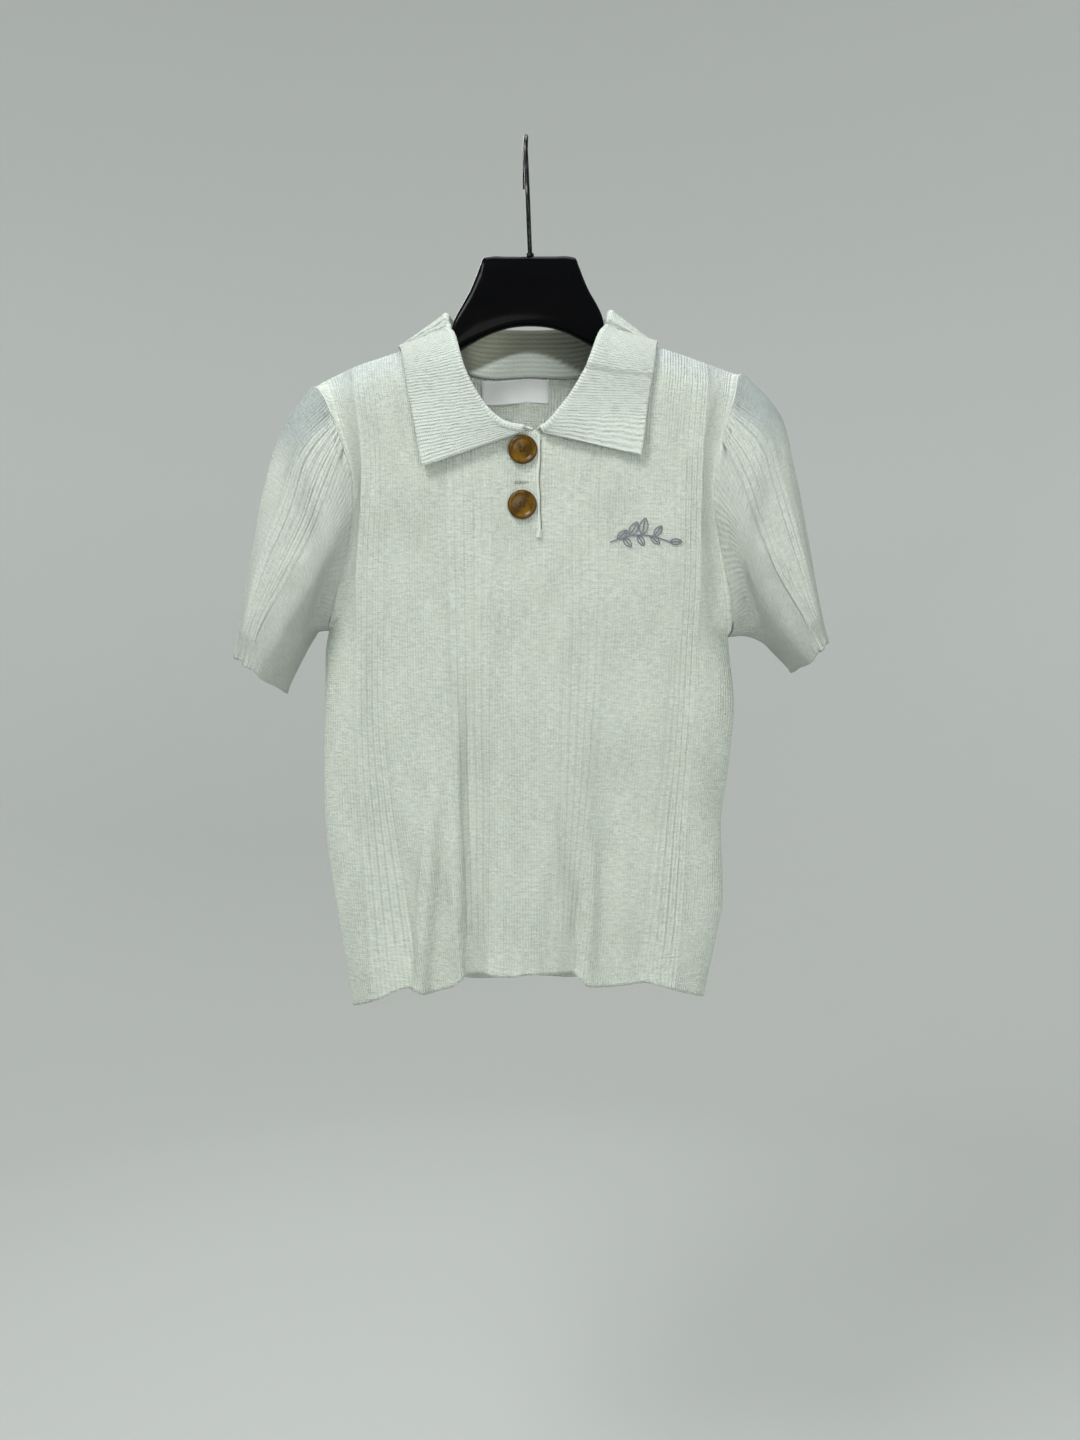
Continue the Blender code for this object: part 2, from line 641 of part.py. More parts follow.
def sheet(name, face_points, back_points, made_of):
    """A closed wall between two grids of the same shape."""
    builder = bmesh.new()
    grids = [[[builder.verts.new(p) for p in row] for row in grid] for grid in (face_points, back_points)]
    front, back = grids
    rows, columns = face_points.shape[:2]
    for r in range(rows - 1):
        for c in range(columns - 1):
            builder.faces.new((front[r][c], front[r][c + 1], front[r + 1][c + 1], front[r + 1][c]))
            builder.faces.new((back[r][c], back[r + 1][c], back[r + 1][c + 1], back[r][c + 1]))
    for r in range(rows - 1):
        for c in (0, columns - 1):
            builder.faces.new((front[r][c], front[r + 1][c], back[r + 1][c], back[r][c]))
    for c in range(columns - 1):
        for r in (0, rows - 1):
            builder.faces.new((front[r][c], front[r][c + 1], back[r][c + 1], back[r][c]))
    return new_object(name, builder, made_of)


def loft(name, sections, made_of):
    """A closed body through rings of points, with a flat cap at each end."""
    builder = bmesh.new()
    rings = [[builder.verts.new(point) for point in ring] for ring in sections]
    for lower, upper in zip(rings, rings[1:]):
        for k in range(len(lower)):
            after = (k + 1) % len(lower)
            builder.faces.new((lower[k], lower[after], upper[after], upper[k]))
    builder.faces.new(rings[0])
    builder.faces.new(rings[-1])
    return new_object(name, builder, made_of)


# ---------------------------------------------------------------- body and sleeves


def build_panel(name, face, made_of):
    outer, inner, normals = panel_walls(face)
    notch = ()
    if face < 0:
        pair = sum(panel_cells()[:5]) // 2
        notch = [(r, pair) for r in range(notch_row(), len(outer) - 1)]
    wall(name, outer, inner, made_of, notch=notch)
    return normals


def guide_table(side, face):
    """Guide lines of one sleeve half: shares, and for each line its points at those shares."""
    starts = armhole_point(side, face, np.array(GUIDE_STARTS))
    rows = [starts]
    for row in SLEEVES[side]:
        crown_x, crown_z = row[1:3]
        under_x, under_z = row[12:14]
        lines = [(row[k], face * row[k + 1], row[k + 2]) for k in (3, 6, 9)]
        rows.append(np.array([(crown_x, 0, crown_z), *lines, (under_x, 0, under_z)]))
    return [0.0] + [row[0] for row in SLEEVES[side]], np.array(rows)


def guide_points(side, face, share):
    shares, lines = guide_table(side, face)
    return np.array(
        [[smooth(shares, lines[:, k, axis], share) for axis in range(3)] for k in range(lines.shape[1])]
    )


def ring_curve(side, share, around):
    """A ring of the sleeve through its guide lines. around is 0 at the crown and 0.5 at the underarm."""
    front = guide_points(side, -1, share)
    back = guide_points(side, 1, share)
    front[0, 1] = front[-1, 1] = 0.0
    ring = np.concatenate([front, back[-2:0:-1]])
    places = np.concatenate([GUIDE_AROUND, 1 - np.array(GUIDE_AROUND[-2:0:-1])])
    knots = np.concatenate([places[-3:] - 1, places, places[:4] + 1])
    values = np.concatenate([ring[-3:], ring, ring[:4]])
    return np.stack([smooth(knots, values[:, axis], around) for axis in range(3)], axis=-1)


def cap_edge(side, around):
    """The cap seam: the armhole's own points, moved out by the seam gap."""
    half = np.where(around <= 0.5, around, 1 - around)
    share = np.interp(half, GUIDE_AROUND, GUIDE_STARTS)
    rows = armhole_rows()
    corners = armhole_point(side, 1, rows)
    points = np.stack([np.interp(share, rows, corners[:, axis]) for axis in range(3)], axis=-1)
    points[:, 1] *= np.where(around <= 0.5, -1.0, 1.0)
    points[:, 1] *= ((share > 0) & (share < 1)).astype(float)
    points[:, 0] += CAP_GAP * (-1 if side == "right" else 1)
    return points, share


def sleeve_around():
    """Places round the sleeve of every grid column, and 1 at each column on top of a rib."""
    places, ridge = [], []
    for index, count in enumerate(GUIDE_CELLS):
        start, end = GUIDE_AROUND[index : index + 2]
        places.extend(start + (end - start) * np.arange(count) / count)
        ridge.extend([float(index == 1 and k % 2 == 1) for k in range(count)])
    places = np.array(places + [0.5])
    ridge = np.array(ridge + [0.0])
    return np.concatenate([places, 1 - places[-2:0:-1]]), np.concatenate([ridge, ridge[-2:0:-1]])


def sleeve_points(side, shares, around):
    cap, _ = cap_edge(side, around)
    first = ring_curve(side, 0.0, around)
    rings = []
    for share in shares:
        ring = ring_curve(side, share, around) + (cap - first) * (1 - share) ** CAP_FADE
        ring[:, 2] += CUFF_WAVE * share**6 * np.sin(2 * math.pi * CUFF_WAVES * around)
        rings.append(ring)
    return np.array(rings)


def build_sleeve(name, side, panel_edges, made_of):
    """panel_edges gives the body's normals along the armhole, so that the two walls meet square."""
    around, ridge = sleeve_around()
    shares = np.linspace(0, 1, SLEEVE_ROWS + 1)
    points = sleeve_points(side, shares, around)
    normals = grid_normals(points, flip=side == "right", wrapped=True)
    _, armhole_share = cap_edge(side, around)
    for column, share in enumerate(armhole_share):
        edge_shares, edge_normals = panel_edges["front" if around[column] <= 0.5 else "back"]
        met = np.array([np.interp(share, edge_shares, edge_normals[:, axis]) for axis in range(3)])
        if share == 0:
            met[1] = 0.0
        own = ease(0.72, 0.98, share)
        normals[0, column] = unit(met * (1 - own) + normals[0, column] * own)
    height = SLEEVE_RIB_HEIGHT * (shares > 0.5 / SLEEVE_ROWS) * (shares < SLEEVE_RIB_END)
    outer = points + normals * (height[:, None] * ridge[None, :])[..., None]
    inner = points - normals * CLOTH
    wall(name, outer, inner, made_of, wrapped=True)


def armhole_normals(normals, column):
    """Shares and body normals along one armhole, from the shoulder tip to the underarm."""
    rows = panel_rows()
    on_armhole = rows >= UNDERARM_SHARE - 1e-6
    shares = (1 - rows[on_armhole]) / (1 - UNDERARM_SHARE)
    return shares[::-1], normals[on_armhole, column][::-1]


# ---------------------------------------------------------------- collar


def panel_surface(face, x, z):
    """A point of the smooth body and its outward normal, away from the side seams."""
    step = 0.0005
    depth = body_depth(face, x, z)
    slope_x = (body_depth(face, x + step, z) - body_depth(face, x - step, z)) / (2 * step)
    slope_z = (body_depth(face, x, z + step) - body_depth(face, x, z - step)) / (2 * step)
    point = np.stack([x, face * depth, z], axis=-1)
    normal = unit(np.stack([-slope_x, np.full_like(depth, face), -slope_z], axis=-1))
    return point, normal


def collar_lines(shares):
    """Seam, fold and leaf edge of the collar at the given shares."""
    seam = []
    necks = {face: panel_points(face, np.array([1.0]))[0] for face in (-1, 1)}
    for share in shares:
        x = table(COLLAR, 1, share)
        on_front = share <= COLLAR_ON_FRONT[0] or share >= COLLAR_ON_FRONT[1]
        neck = necks[-1 if on_front else 1]
        seam.append([x, *(np.interp(x, neck[:, 0], neck[:, axis]) for axis in (1, 2))])
    fold = np.stack([table(COLLAR, column, shares) for column in (2, 3, 4)], axis=-1)
    edge = np.stack([table(COLLAR, column, shares) for column in (5, 6, 7)], axis=-1)
    return np.array(seam), fold, edge


def off_body(points, lift):
    """The points, moved out where they lie closer to the body than the lift."""
    x, y, z = points.T
    middle = table(CROWN, 1, x) - CROWN_DROP
    low = np.minimum(z, middle)
    full = np.where(y < 0, body_depth(-1, x, low), body_depth(1, x, low))
    reach = np.hypot(y / full, np.maximum(z - middle, 0) / CROWN_DROP)
    scale = np.maximum(1.0, (1 + lift / full) / reach)
    return np.stack([x, y * scale, np.where(z > middle, middle + (z - middle) * scale, z)], axis=-1)


def collar_surface(shares):
    """Middle surface of the collar: up the stand, over the fold and down the leaf."""
    seam, fold, edge = collar_lines(shares)
    fold = off_body(fold, FOLD_RADIUS / 2)
    along = unit(np.gradient(fold, axis=0))
    rise = unit(fold - seam)
    seam_line = unit(np.gradient(seam, axis=0))
    square = unit(rise - seam_line * np.sum(rise * seam_line, axis=1, keepdims=True))
    foot = seam + square * FOOT_LIFT
    foot[:, 0] *= FOOT_WIDTH
    rise = unit(rise - along * np.sum(rise * along, axis=1, keepdims=True))
    out = edge - fold
    out = out - along * np.sum(out * along, axis=1, keepdims=True)
    out = unit(out - rise * np.sum(out * rise, axis=1, keepdims=True))
    shoulder = fold - rise * FOLD_RADIUS
    columns = [foot + (shoulder - foot) * k / STAND_CELLS for k in range(STAND_CELLS)]
    for k in range(FOLD_CELLS + 1):
        angle = math.pi * k / FOLD_CELLS
        turned = shoulder + FOLD_RADIUS * (rise * math.sin(angle) + out * (1 - math.cos(angle)))
        lift = LEAF_LIFT * (2 * k / FOLD_CELLS - 1)
        columns.append(off_body(turned, lift) if lift > 0 else turned)
    start = columns[-1]
    for k in range(1, LEAF_CELLS + 1):
        q = k / LEAF_CELLS
        columns.append(off_body(start + (edge - start) * q, LEAF_LIFT))
    return np.stack(columns, axis=1)


def build_collar(made_of):
    shares = np.linspace(0, 1, COLLAR_STATIONS + 1)
    points = collar_surface(shares)
    normals = grid_normals(points, flip=False)
    half = COLLAR_CLOTH / 2
    sheet("collar", points + normals * half, points - normals * half, made_of)


# ---------------------------------------------------------------- placket, buttons, label


def band_grid(right, left, foot_z, offset):
    """A grid over the front between two x, from foot_z to the neckline, moved out by offset."""
    across = np.linspace(right, left, BAND_CELLS[0] + 1)
    rows = []
    for q in np.linspace(0, 1, BAND_CELLS[1] + 1):
        z = foot_z + (neckline(-1, across) - foot_z) * q
        point, normal = panel_surface(-1, across, z)
        rows.append(point + normal * offset)
    return np.array(rows)


def build_placket(notch_z, made_of):
    """The upper band in the front's notch, and the under band behind it."""
    right, left, foot_z = BAND_LEFT + SEAM_GAP, BAND_RIGHT - SEAM_GAP, notch_z + SEAM_GAP
    face = band_grid(right, left, foot_z, BAND_PROUD)
    back = band_grid(right, left, foot_z, BAND_PROUD - BAND_CLOTH)
    sheet("placket_upper", face, back, made_of)

    proud = -CLOTH - SEAM_GAP
    foot_z = notch_z - UNDER_BAND_LAP
    face = band_grid(*UNDER_BAND, foot_z, proud)
    back = band_grid(*UNDER_BAND, foot_z, proud - CLOTH)
    face[-1, :, 2] -= UNDER_BAND_DROP
    back[-1, :, 2] -= UNDER_BAND_DROP
    sheet("placket_under", face, back, made_of)


def build_button(name, x, z, made_of):
    """A turned disc with a raised rim, facing out of the placket."""
    point, normal = panel_surface(-1, np.array(x), np.array(z))
    seat = point + normal * (BAND_PROUD + SEAM_GAP + 0.0001)
    side = unit(np.cross(normal, (0.0, 0.0, 1.0)))
    up = np.cross(side, normal)
    builder = bmesh.new()
    rings = []
    for radius_share, height_share in BUTTON_PROFILE[1:-1]:
        ring = []
        for k in range(BUTTON_SIDES):
            angle = 2 * math.pi * k / BUTTON_SIDES
            spoke = side * math.cos(angle) + up * math.sin(angle)
            at = seat + spoke * BUTTON_RADIUS * radius_share + normal * BUTTON_THICK * height_share
            ring.append(builder.verts.new(at))
        rings.append(ring)
    ends = []
    for _, height_share in (BUTTON_PROFILE[0], BUTTON_PROFILE[-1]):
        ends.append(builder.verts.new(seat + normal * BUTTON_THICK * height_share))
    for lower, upper in zip(rings, rings[1:]):
        for k in range(BUTTON_SIDES):
            after = (k + 1) % BUTTON_SIDES
            builder.faces.new((lower[k], lower[after], upper[after], upper[k]))
    for end, ring in zip(ends, (rings[0], rings[-1])):
        for k in range(BUTTON_SIDES):
            builder.faces.new((end, ring[k], ring[(k + 1) % BUTTON_SIDES]))
    new_object(name, builder, made_of)


def build_label(made_of):
    """A thin strip on the back panel's inside, its top edge at the neck seam."""
    width, height = LABEL_SIZE
    across = np.linspace(LABEL_X - width / 2, LABEL_X + width / 2, LABEL_CELLS[0] + 1)
    grids = []
    for offset in (CLOTH + SEAM_GAP, CLOTH + SEAM_GAP + LABEL_CLOTH):
        rows = []
        for q in np.linspace(0, 1, LABEL_CELLS[1] + 1):
            z = neckline(1, across) - LABEL_DROP - height * (1 - q)
            point, normal = panel_surface(1, across, z)
            rows.append(point - normal * offset)
        grids.append(np.array(rows))
    sheet("neck_label", grids[1], grids[0], made_of)


# ---------------------------------------------------------------- hanger


def hanger_sections():
    """Rings of the hanger from the right tip to the left tip: x, top z, underside z, half depth."""
    rows = {"right": [], "left": []}
    for right_x, left_x, top, low, depth in HANGER:
        rows["right"].append((right_x, top, low, depth))
        rows["left"].append((left_x, top, low, depth))
    for side, column in (("right", 0), ("left", 1)):
        start_x = HANGER[-1][column]
        low_start = HANGER[-1][3]
        for share in ARM_STATIONS:
            x = start_x + (ARM_TIP[side] - start_x) * share
            crown = float(table(CROWN, 1, x)) - CLOTH - ARM_CLEARANCE
            sink = 0.0006 + 0.0030 * (1 - share) ** 8 + 0.013 * max(0.0, (share - 0.85) / 0.15) ** 2.2
            top = crown - sink
            full_low = float(table(CROWN, 1, x)) - ARM_HEIGHT
            low = full_low + (low_start - (float(table(CROWN, 1, start_x)) - ARM_HEIGHT)) * (1 - share) ** 3
            low = low + 0.006 * max(0.0, (share - 0.85) / 0.15) ** 2
            swell = ease(0.0, 0.6, share)
            depth = ARM_HALF_DEPTH[0] + (ARM_HALF_DEPTH[1] - ARM_HALF_DEPTH[0]) * swell
            depth = depth * math.sqrt(max(0.08, 1 - max(0.0, (share - 0.80) / 0.205) ** 2))
            rows[side].append((x, top, low, depth))
    return rows["right"][::-1] + rows["left"][1:]


def hanger_ring(x, top, low, depth):
    """One section. Under the cloth its top follows the cloth's inside."""
    points = []
    crown = float(table(CROWN, 1, x)) - CLOTH - ARM_CLEARANCE
    covered = abs(x) > -HANGER[-1][0] - 0.001
    for k in range(HANGER_SIDES):
        angle = 2 * math.pi * (k + 0.5) / HANGER_SIDES
        cosine, sine = math.cos(angle), math.sin(angle)
        y = depth * math.copysign(abs(sine) ** (2 / HANGER_POWER), sine)
        z = (top + low) / 2 + (top - low) / 2 * math.copysign(abs(cosine) ** (2 / HANGER_POWER), cosine)
        if covered:
            face = -1 if y < 0 else 1
            radius = min(CROWN_RADIUS, float(body_depth(face, x, crown - CROWN_DROP)))
            lean = min(1.0, (abs(y) + CLOTH) / radius)
            z = min(z, crown - CROWN_DROP * (1 - math.sqrt(1 - lean**2)))
            room = float(body_depth(face, x, z)) - CLOTH - 5 * ARM_CLEARANCE
            y = face * min(abs(y), max(room, 0.0005))
        points.append((x, y, z))
    return points


def build_hanger(made_of):
    loft("hanger_body", [hanger_ring(*row) for row in hanger_sections()], made_of)


def hook_route():
    """The wire's middle line, from the hanger up the front of the rail, over it and down behind."""
    top = WIRE_RADIUS
    centre = top - HOOK_RADIUS
    route = [(HANG_X, 0.0, SHANK_FOOT_Z)]
    for reach, z in HOOK_LEG:
        lean = HANG_X * (z - centre) / (SHANK_FOOT_Z - centre)
        route.append((lean, reach * HOOK_RADIUS, z))
    for k in range(ARC_STEPS + 1):
        angle = math.pi * k / ARC_STEPS
        y = -HOOK_RADIUS * math.cos(angle)
        x = -y * math.tan(HOOK_TURN) * math.sin(angle / 2)
        route.append((x, y, centre + HOOK_RADIUS * math.sin(angle)))
    tail_x = -HOOK_RADIUS * math.tan(HOOK_TURN)
    route.append((tail_x, HOOK_RADIUS, centre - HOOK_TAIL * 0.5))
    route.append((tail_x, HOOK_RADIUS * 1.12, centre - HOOK_TAIL))
    return route


def build_hook(made_of):
    curve = bpy.data.curves.new("hanger_hook", "CURVE")
    curve.dimensions = "3D"
    route = hook_route()
    spline = curve.splines.new("POLY")
    spline.points.add(len(route) - 1)
    for point, place in zip(spline.points, route):
        point.co = (*place, 1.0)
    curve.bevel_depth = WIRE_RADIUS
    curve.bevel_resolution = 2
    curve.use_fill_caps = True
    curve.materials.append(made_of)
    bpy.context.scene.collection.objects.link(bpy.data.objects.new("hanger_hook", curve))


# ---------------------------------------------------------------- the whole object


def build():
    for old in list(bpy.data.objects):
        bpy.data.objects.remove(old, do_unlink=True)

    knit = material("ivory_knit", (0.78, 0.80, 0.72), 0.9)
    collar_knit = material("collar_knit", (0.80, 0.82, 0.76), 0.9)
    horn = material("amber_horn", (0.22, 0.09, 0.012), 0.25)
    woven = material("white_label", (0.75, 0.76, 0.76), 0.6)
    moulded = material("black_moulding", (0.006, 0.006, 0.007), 0.2)
    steel = material("dark_steel", (0.10, 0.10, 0.10), 0.3, metallic=1.0)

    normals = {"front": build_panel("front", -1, knit), "back": build_panel("back", 1, knit)}
    for side, column in (("right", 0), ("left", -1)):
        edges = {name: armhole_normals(found, column) for name, found in normals.items()}
        build_sleeve("sleeve_" + side, side, edges, knit)
    build_collar(collar_knit)

    notch_share = panel_rows()[notch_row()]
    notch_column = sum(panel_cells()[:5])
    notch_z = float(panel_points(-1, np.array([notch_share]))[0, notch_column, 2])
    build_placket(notch_z, knit)
    for name, x, z in BUTTONS:
        build_button(name, x, z, horn)
    build_label(woven)
    build_hanger(moulded)
    build_hook(steel)


build()
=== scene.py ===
"""Dressed scene of a short sleeve knit polo top on a contoured hanger. Metres, +Z up, in the CAD frame."""

import math

import bpy
import numpy as np
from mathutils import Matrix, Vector


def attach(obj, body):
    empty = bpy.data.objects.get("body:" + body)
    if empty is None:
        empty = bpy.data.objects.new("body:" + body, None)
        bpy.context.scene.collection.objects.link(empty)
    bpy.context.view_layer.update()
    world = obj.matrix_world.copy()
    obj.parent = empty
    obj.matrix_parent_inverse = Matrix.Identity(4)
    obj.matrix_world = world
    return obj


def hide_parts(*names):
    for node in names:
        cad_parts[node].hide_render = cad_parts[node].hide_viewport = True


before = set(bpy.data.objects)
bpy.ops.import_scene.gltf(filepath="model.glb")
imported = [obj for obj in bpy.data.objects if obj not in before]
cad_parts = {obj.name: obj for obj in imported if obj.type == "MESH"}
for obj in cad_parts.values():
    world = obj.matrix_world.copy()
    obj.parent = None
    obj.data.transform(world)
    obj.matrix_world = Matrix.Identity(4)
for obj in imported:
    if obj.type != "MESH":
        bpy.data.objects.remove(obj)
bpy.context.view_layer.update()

# Sizes repeated from the part's source

# Driving dimensions of the cloth
CLOTH = 0.0016  # wall of body and sleeves
COLLAR_CLOTH = 0.0022
SEAM_GAP = 0.0003
HANG_X = 0.0036  # the garment hangs this far to the side of the hook's top, because the shank leans
# Body: where the side seam ends and the armhole starts, as a share of the panel's edge
UNDERARM_SHARE = 0.58
CROWN_DROP = 0.045  # height over which a panel rounds over the shoulder
SECTION_POWER = 4.0  # how squarely the body's section turns at the side seam
ARMHOLE_DEPTH = 0.033
# Ribs
RIBS_IN_GROUP = 5
SLEEVE_RIB_END = 0.88  # share of the sleeve's length
# Hem corner, underarm and shoulder tip: (z of corner, z of underarm, z of tip) by wearer's side
EDGE_HEIGHTS = {"right": (-0.7335, -0.4140, -0.2105), "left": (-0.7258, -0.4200, -0.2000)}
# Side seam: share of the way down from the underarm, x of the right side, x of the left side
SIDE_SEAM = (
    (0.00, -0.1701, 0.1680),
    (0.05, -0.1729, 0.1690),
    (0.12, -0.1735, 0.1717),
    (0.20, -0.1738, 0.1734),
    (0.30, -0.1744, 0.1706),
    (0.40, -0.1746, 0.1670),
    (0.50, -0.1737, 0.1625),
    (0.55, -0.1727, 0.1622),
    (0.65, -0.1686, 0.1636),
    (0.75, -0.1635, 0.1634),
    (0.85, -0.1580, 0.1573),
    (1.00, -0.1501, 0.1475),
)
# Armhole: share of the way from tip to underarm, x of the right side, x of the left side
ARMHOLE = (
    (0.0, -0.1850, 0.1820),
    (0.1, -0.1765, 0.1740),
    (0.2, -0.1680, 0.1705),
    (0.3, -0.1590, 0.1635),
    (0.4, -0.1492, 0.1550),
    (0.5, -0.1455, 0.1511),
    (0.6, -0.1492, 0.1562),
    (0.7, -0.1555, 0.1632),
    (0.8, -0.1628, 0.1685),
    (0.9, -0.1680, 0.1698),
    (1.0, -0.1701, 0.1680),
)
# Shoulder line, carried on across the neck: x, z
CROWN = (
    (-0.1850, -0.2105),
    (-0.1769, -0.2058),
    (-0.1658, -0.2005),
    (-0.1556, -0.1955),
    (-0.1394, -0.1893),
    (-0.1258, -0.1855),
    (-0.1000, -0.1772),
    (-0.0735, -0.1685),
    (0.0000, -0.1560),
    (0.0710, -0.1665),
    (0.1000, -0.1746),
    (0.1275, -0.1825),
    (0.1560, -0.1918),
    (0.1750, -0.1980),
    (0.1820, -0.2000),
)
# Necklines of the two panels: x, z
NECK_FRONT = (
    (-0.0735, -0.1685),
    (-0.0722, -0.1890),
    (-0.0685, -0.2080),
    (-0.0600, -0.2290),
    (-0.0430, -0.2470),
    (-0.0217, -0.2550),
    (-0.0066, -0.2562),
    (0.0075, -0.2565),
    (0.0260, -0.2530),
    (0.0430, -0.2450),
    (0.0585, -0.2270),
    (0.0668, -0.2060),
    (0.0700, -0.1860),
    (0.0710, -0.1665),
)
NECK_BACK = (
    (-0.0735, -0.1685),
    (-0.0690, -0.1780),
    (-0.0610, -0.1855),
    (-0.0525, -0.1885),
    (0.0000, -0.1892),
    (0.0500, -0.1882),
    (0.0590, -0.1850),
    (0.0665, -0.1765),
    (0.0710, -0.1665),
)
# Hems: x, z
HEM_FRONT = (
    (-0.1501, -0.7335),
    (-0.1243, -0.7244),
    (-0.1020, -0.7142),
    (-0.0933, -0.7146),
    (-0.0873, -0.7172),
    (-0.0726, -0.7147),
    (-0.0629, -0.7111),
    (-0.0560, -0.7050),
    (-0.0443, -0.7019),
    (-0.0211, -0.7055),
    (0.0000, -0.7030),
    (0.0258, -0.7007),
    (0.0375, -0.7010),
    (0.0440, -0.7095),
    (0.0514, -0.7121),
    (0.0636, -0.7124),
    (0.0989, -0.7097),
    (0.1194, -0.7162),
    (0.1475, -0.7258),
)
HEM_BACK = (
    (-0.1501, -0.7335),
    (-0.1150, -0.7230),
    (-0.0700, -0.7160),
    (-0.0350, -0.7190),
    (0.0000, -0.7150),
    (0.0450, -0.7180),
    (0.0800, -0.7150),
    (0.1150, -0.7190),
    (0.1475, -0.7258),
)
# Half depth of the body: z, front, back
BODY_DEPTH = (
    (-0.7400, 0.0280, 0.0290),
    (-0.6000, 0.0300, 0.0310),
    (-0.5000, 0.0320, 0.0330),
    (-0.4200, 0.0345, 0.0350),
    (-0.3300, 0.0375, 0.0380),
    (-0.2500, 0.0400, 0.0400),
    (-0.1500, 0.0400, 0.0420),
)
# Edges of the four rib groups A to D: panel share, then the two edges of each group in x
RIB_GROUPS = (
    (0.00, -0.1310, -0.0930, -0.0540, -0.0355, 0.0215, 0.0365, 0.0895, 0.1210),
    (0.07, -0.1340, -0.0977, -0.0557, -0.0351, 0.0225, 0.0398, 0.0934, 0.1247),
    (0.40, -0.1440, -0.1200, -0.0635, -0.0335, 0.0255, 0.0570, 0.1130, 0.1350),
    (0.60, -0.1440, -0.1200, -0.0670, -0.0320, 0.0273, 0.0630, 0.1190, 0.1400),
    (0.85, -0.1390, -0.1190, -0.0700, -0.0310, 0.0273, 0.0655, 0.1220, 0.1430),
    (1.00, -0.1500, -0.1290, -0.0735, -0.0360, 0.0310, 0.0710, 0.1290, 0.1500),
)
# Soft folds: x and z of the top, x and z of the foot, half width, height (troughs are negative),
# and 1 where the fold runs out at its foot
FOLDS_FRONT = (
    (-0.0700, -0.3800, -0.0740, -0.5200, 0.0150, 0.0030, 1),
    (-0.0740, -0.5000, -0.0920, -0.7250, 0.0085, 0.0060, 0),
    (-0.0620, -0.4300, -0.0600, -0.7150, 0.0070, 0.0045, 0),
    (-0.0490, -0.4300, -0.0460, -0.7150, 0.0110, -0.0050, 0),
    (0.0640, -0.3900, 0.0350, -0.7150, 0.0130, 0.0050, 0),
    (0.0800, -0.4300, 0.0520, -0.7150, 0.0120, -0.0030, 0),
    (0.1352, -0.4500, 0.1540, -0.5850, 0.0080, 0.0055, 1),
    (0.1180, -0.5000, 0.1320, -0.6400, 0.0160, -0.0035, 1),
    (-0.1420, -0.4550, -0.1660, -0.5450, 0.0090, 0.0045, 1),
    (-0.1300, -0.5200, -0.1240, -0.7250, 0.0180, -0.0030, 0),
    (0.1040, -0.5600, 0.1000, -0.7150, 0.0140, 0.0030, 0),
    (0.0574, -0.2850, 0.0300, -0.3250, 0.0045, -0.0014, 1),
    (0.0300, -0.3200, 0.0130, -0.3680, 0.0045, -0.0014, 1),
)
FOLDS_BACK = (
    (-0.0900, -0.3600, -0.1040, -0.7250, 0.0150, 0.0050, 0),
    (-0.0600, -0.4200, -0.0700, -0.7250, 0.0150, -0.0045, 0),
    (-0.0200, -0.4000, -0.0300, -0.7250, 0.0160, 0.0040, 0),
    (0.0400, -0.3800, 0.0460, -0.7250, 0.0140, 0.0055, 0),
    (0.0750, -0.4300, 0.0800, -0.7250, 0.0160, -0.0040, 0),
    (0.1250, -0.4500, 0.1180, -0.7250, 0.0130, 0.0045, 0),
    (-0.1350, -0.4400, -0.1560, -0.5600, 0.0100, 0.0040, 1),
    (0.1350, -0.4300, 0.1560, -0.5400, 0.0100, 0.0040, 1),
)
# Sleeve guide lines, from the cap seam to the cuff. The crown and underarm lines are at y = 0.
# Columns: share of the length, crown x z, first rib x y z, last rib x y z, low line x y z, under x z
SLEEVES = {
    "right": (
        (0.2, -0.2118, -0.2505, -0.1910, 0.0330, -0.2700, -0.1640, 0.0380, -0.3070,
         -0.1690, 0.0340, -0.3830, -0.1810, -0.4165),
        (0.4, -0.2250, -0.2995, -0.2030, 0.0370, -0.3140, -0.1780, 0.0430, -0.3448,
         -0.1800, 0.0380, -0.3990, -0.1890, -0.4240),
        (0.6, -0.2340, -0.3490, -0.2200, 0.0350, -0.3560, -0.1965, 0.0440, -0.3815,
         -0.1930, 0.0390, -0.4180, -0.1965, -0.4370),
        (0.8, -0.2415, -0.3970, -0.2320, 0.0310, -0.4010, -0.2165, 0.0420, -0.4140,
         -0.2060, 0.0360, -0.4390, -0.2035, -0.4525),
        (1.0, -0.2480, -0.4385, -0.2400, 0.0290, -0.4420, -0.2295, 0.0400, -0.4490,
         -0.2180, 0.0340, -0.4590, -0.2095, -0.4690),
    ),
    "left": (
        (0.2, 0.2120, -0.2350, 0.1965, 0.0330, -0.2570, 0.1730, 0.0380, -0.2990,
         0.1765, 0.0340, -0.3800, 0.1825, -0.4195),
        (0.4, 0.2245, -0.2806, 0.2085, 0.0370, -0.3010, 0.1856, 0.0430, -0.3361,
         0.1860, 0.0390, -0.3940, 0.1960, -0.4240),
        (0.6, 0.2325, -0.3286, 0.2205, 0.0360, -0.3440, 0.1995, 0.0450, -0.3722,
         0.1980, 0.0410, -0.4090, 0.2070, -0.4310),
        (0.8, 0.2410, -0.3770, 0.2320, 0.0340, -0.3890, 0.2175, 0.0440, -0.4030,
         0.2120, 0.0390, -0.4260, 0.2170, -0.4400),
        (1.0, 0.2490, -0.4250, 0.2430, 0.0330, -0.4290, 0.2360, 0.0440, -0.4360,
         0.2300, 0.0370, -0.4440, 0.2270, -0.4500),
    ),
}
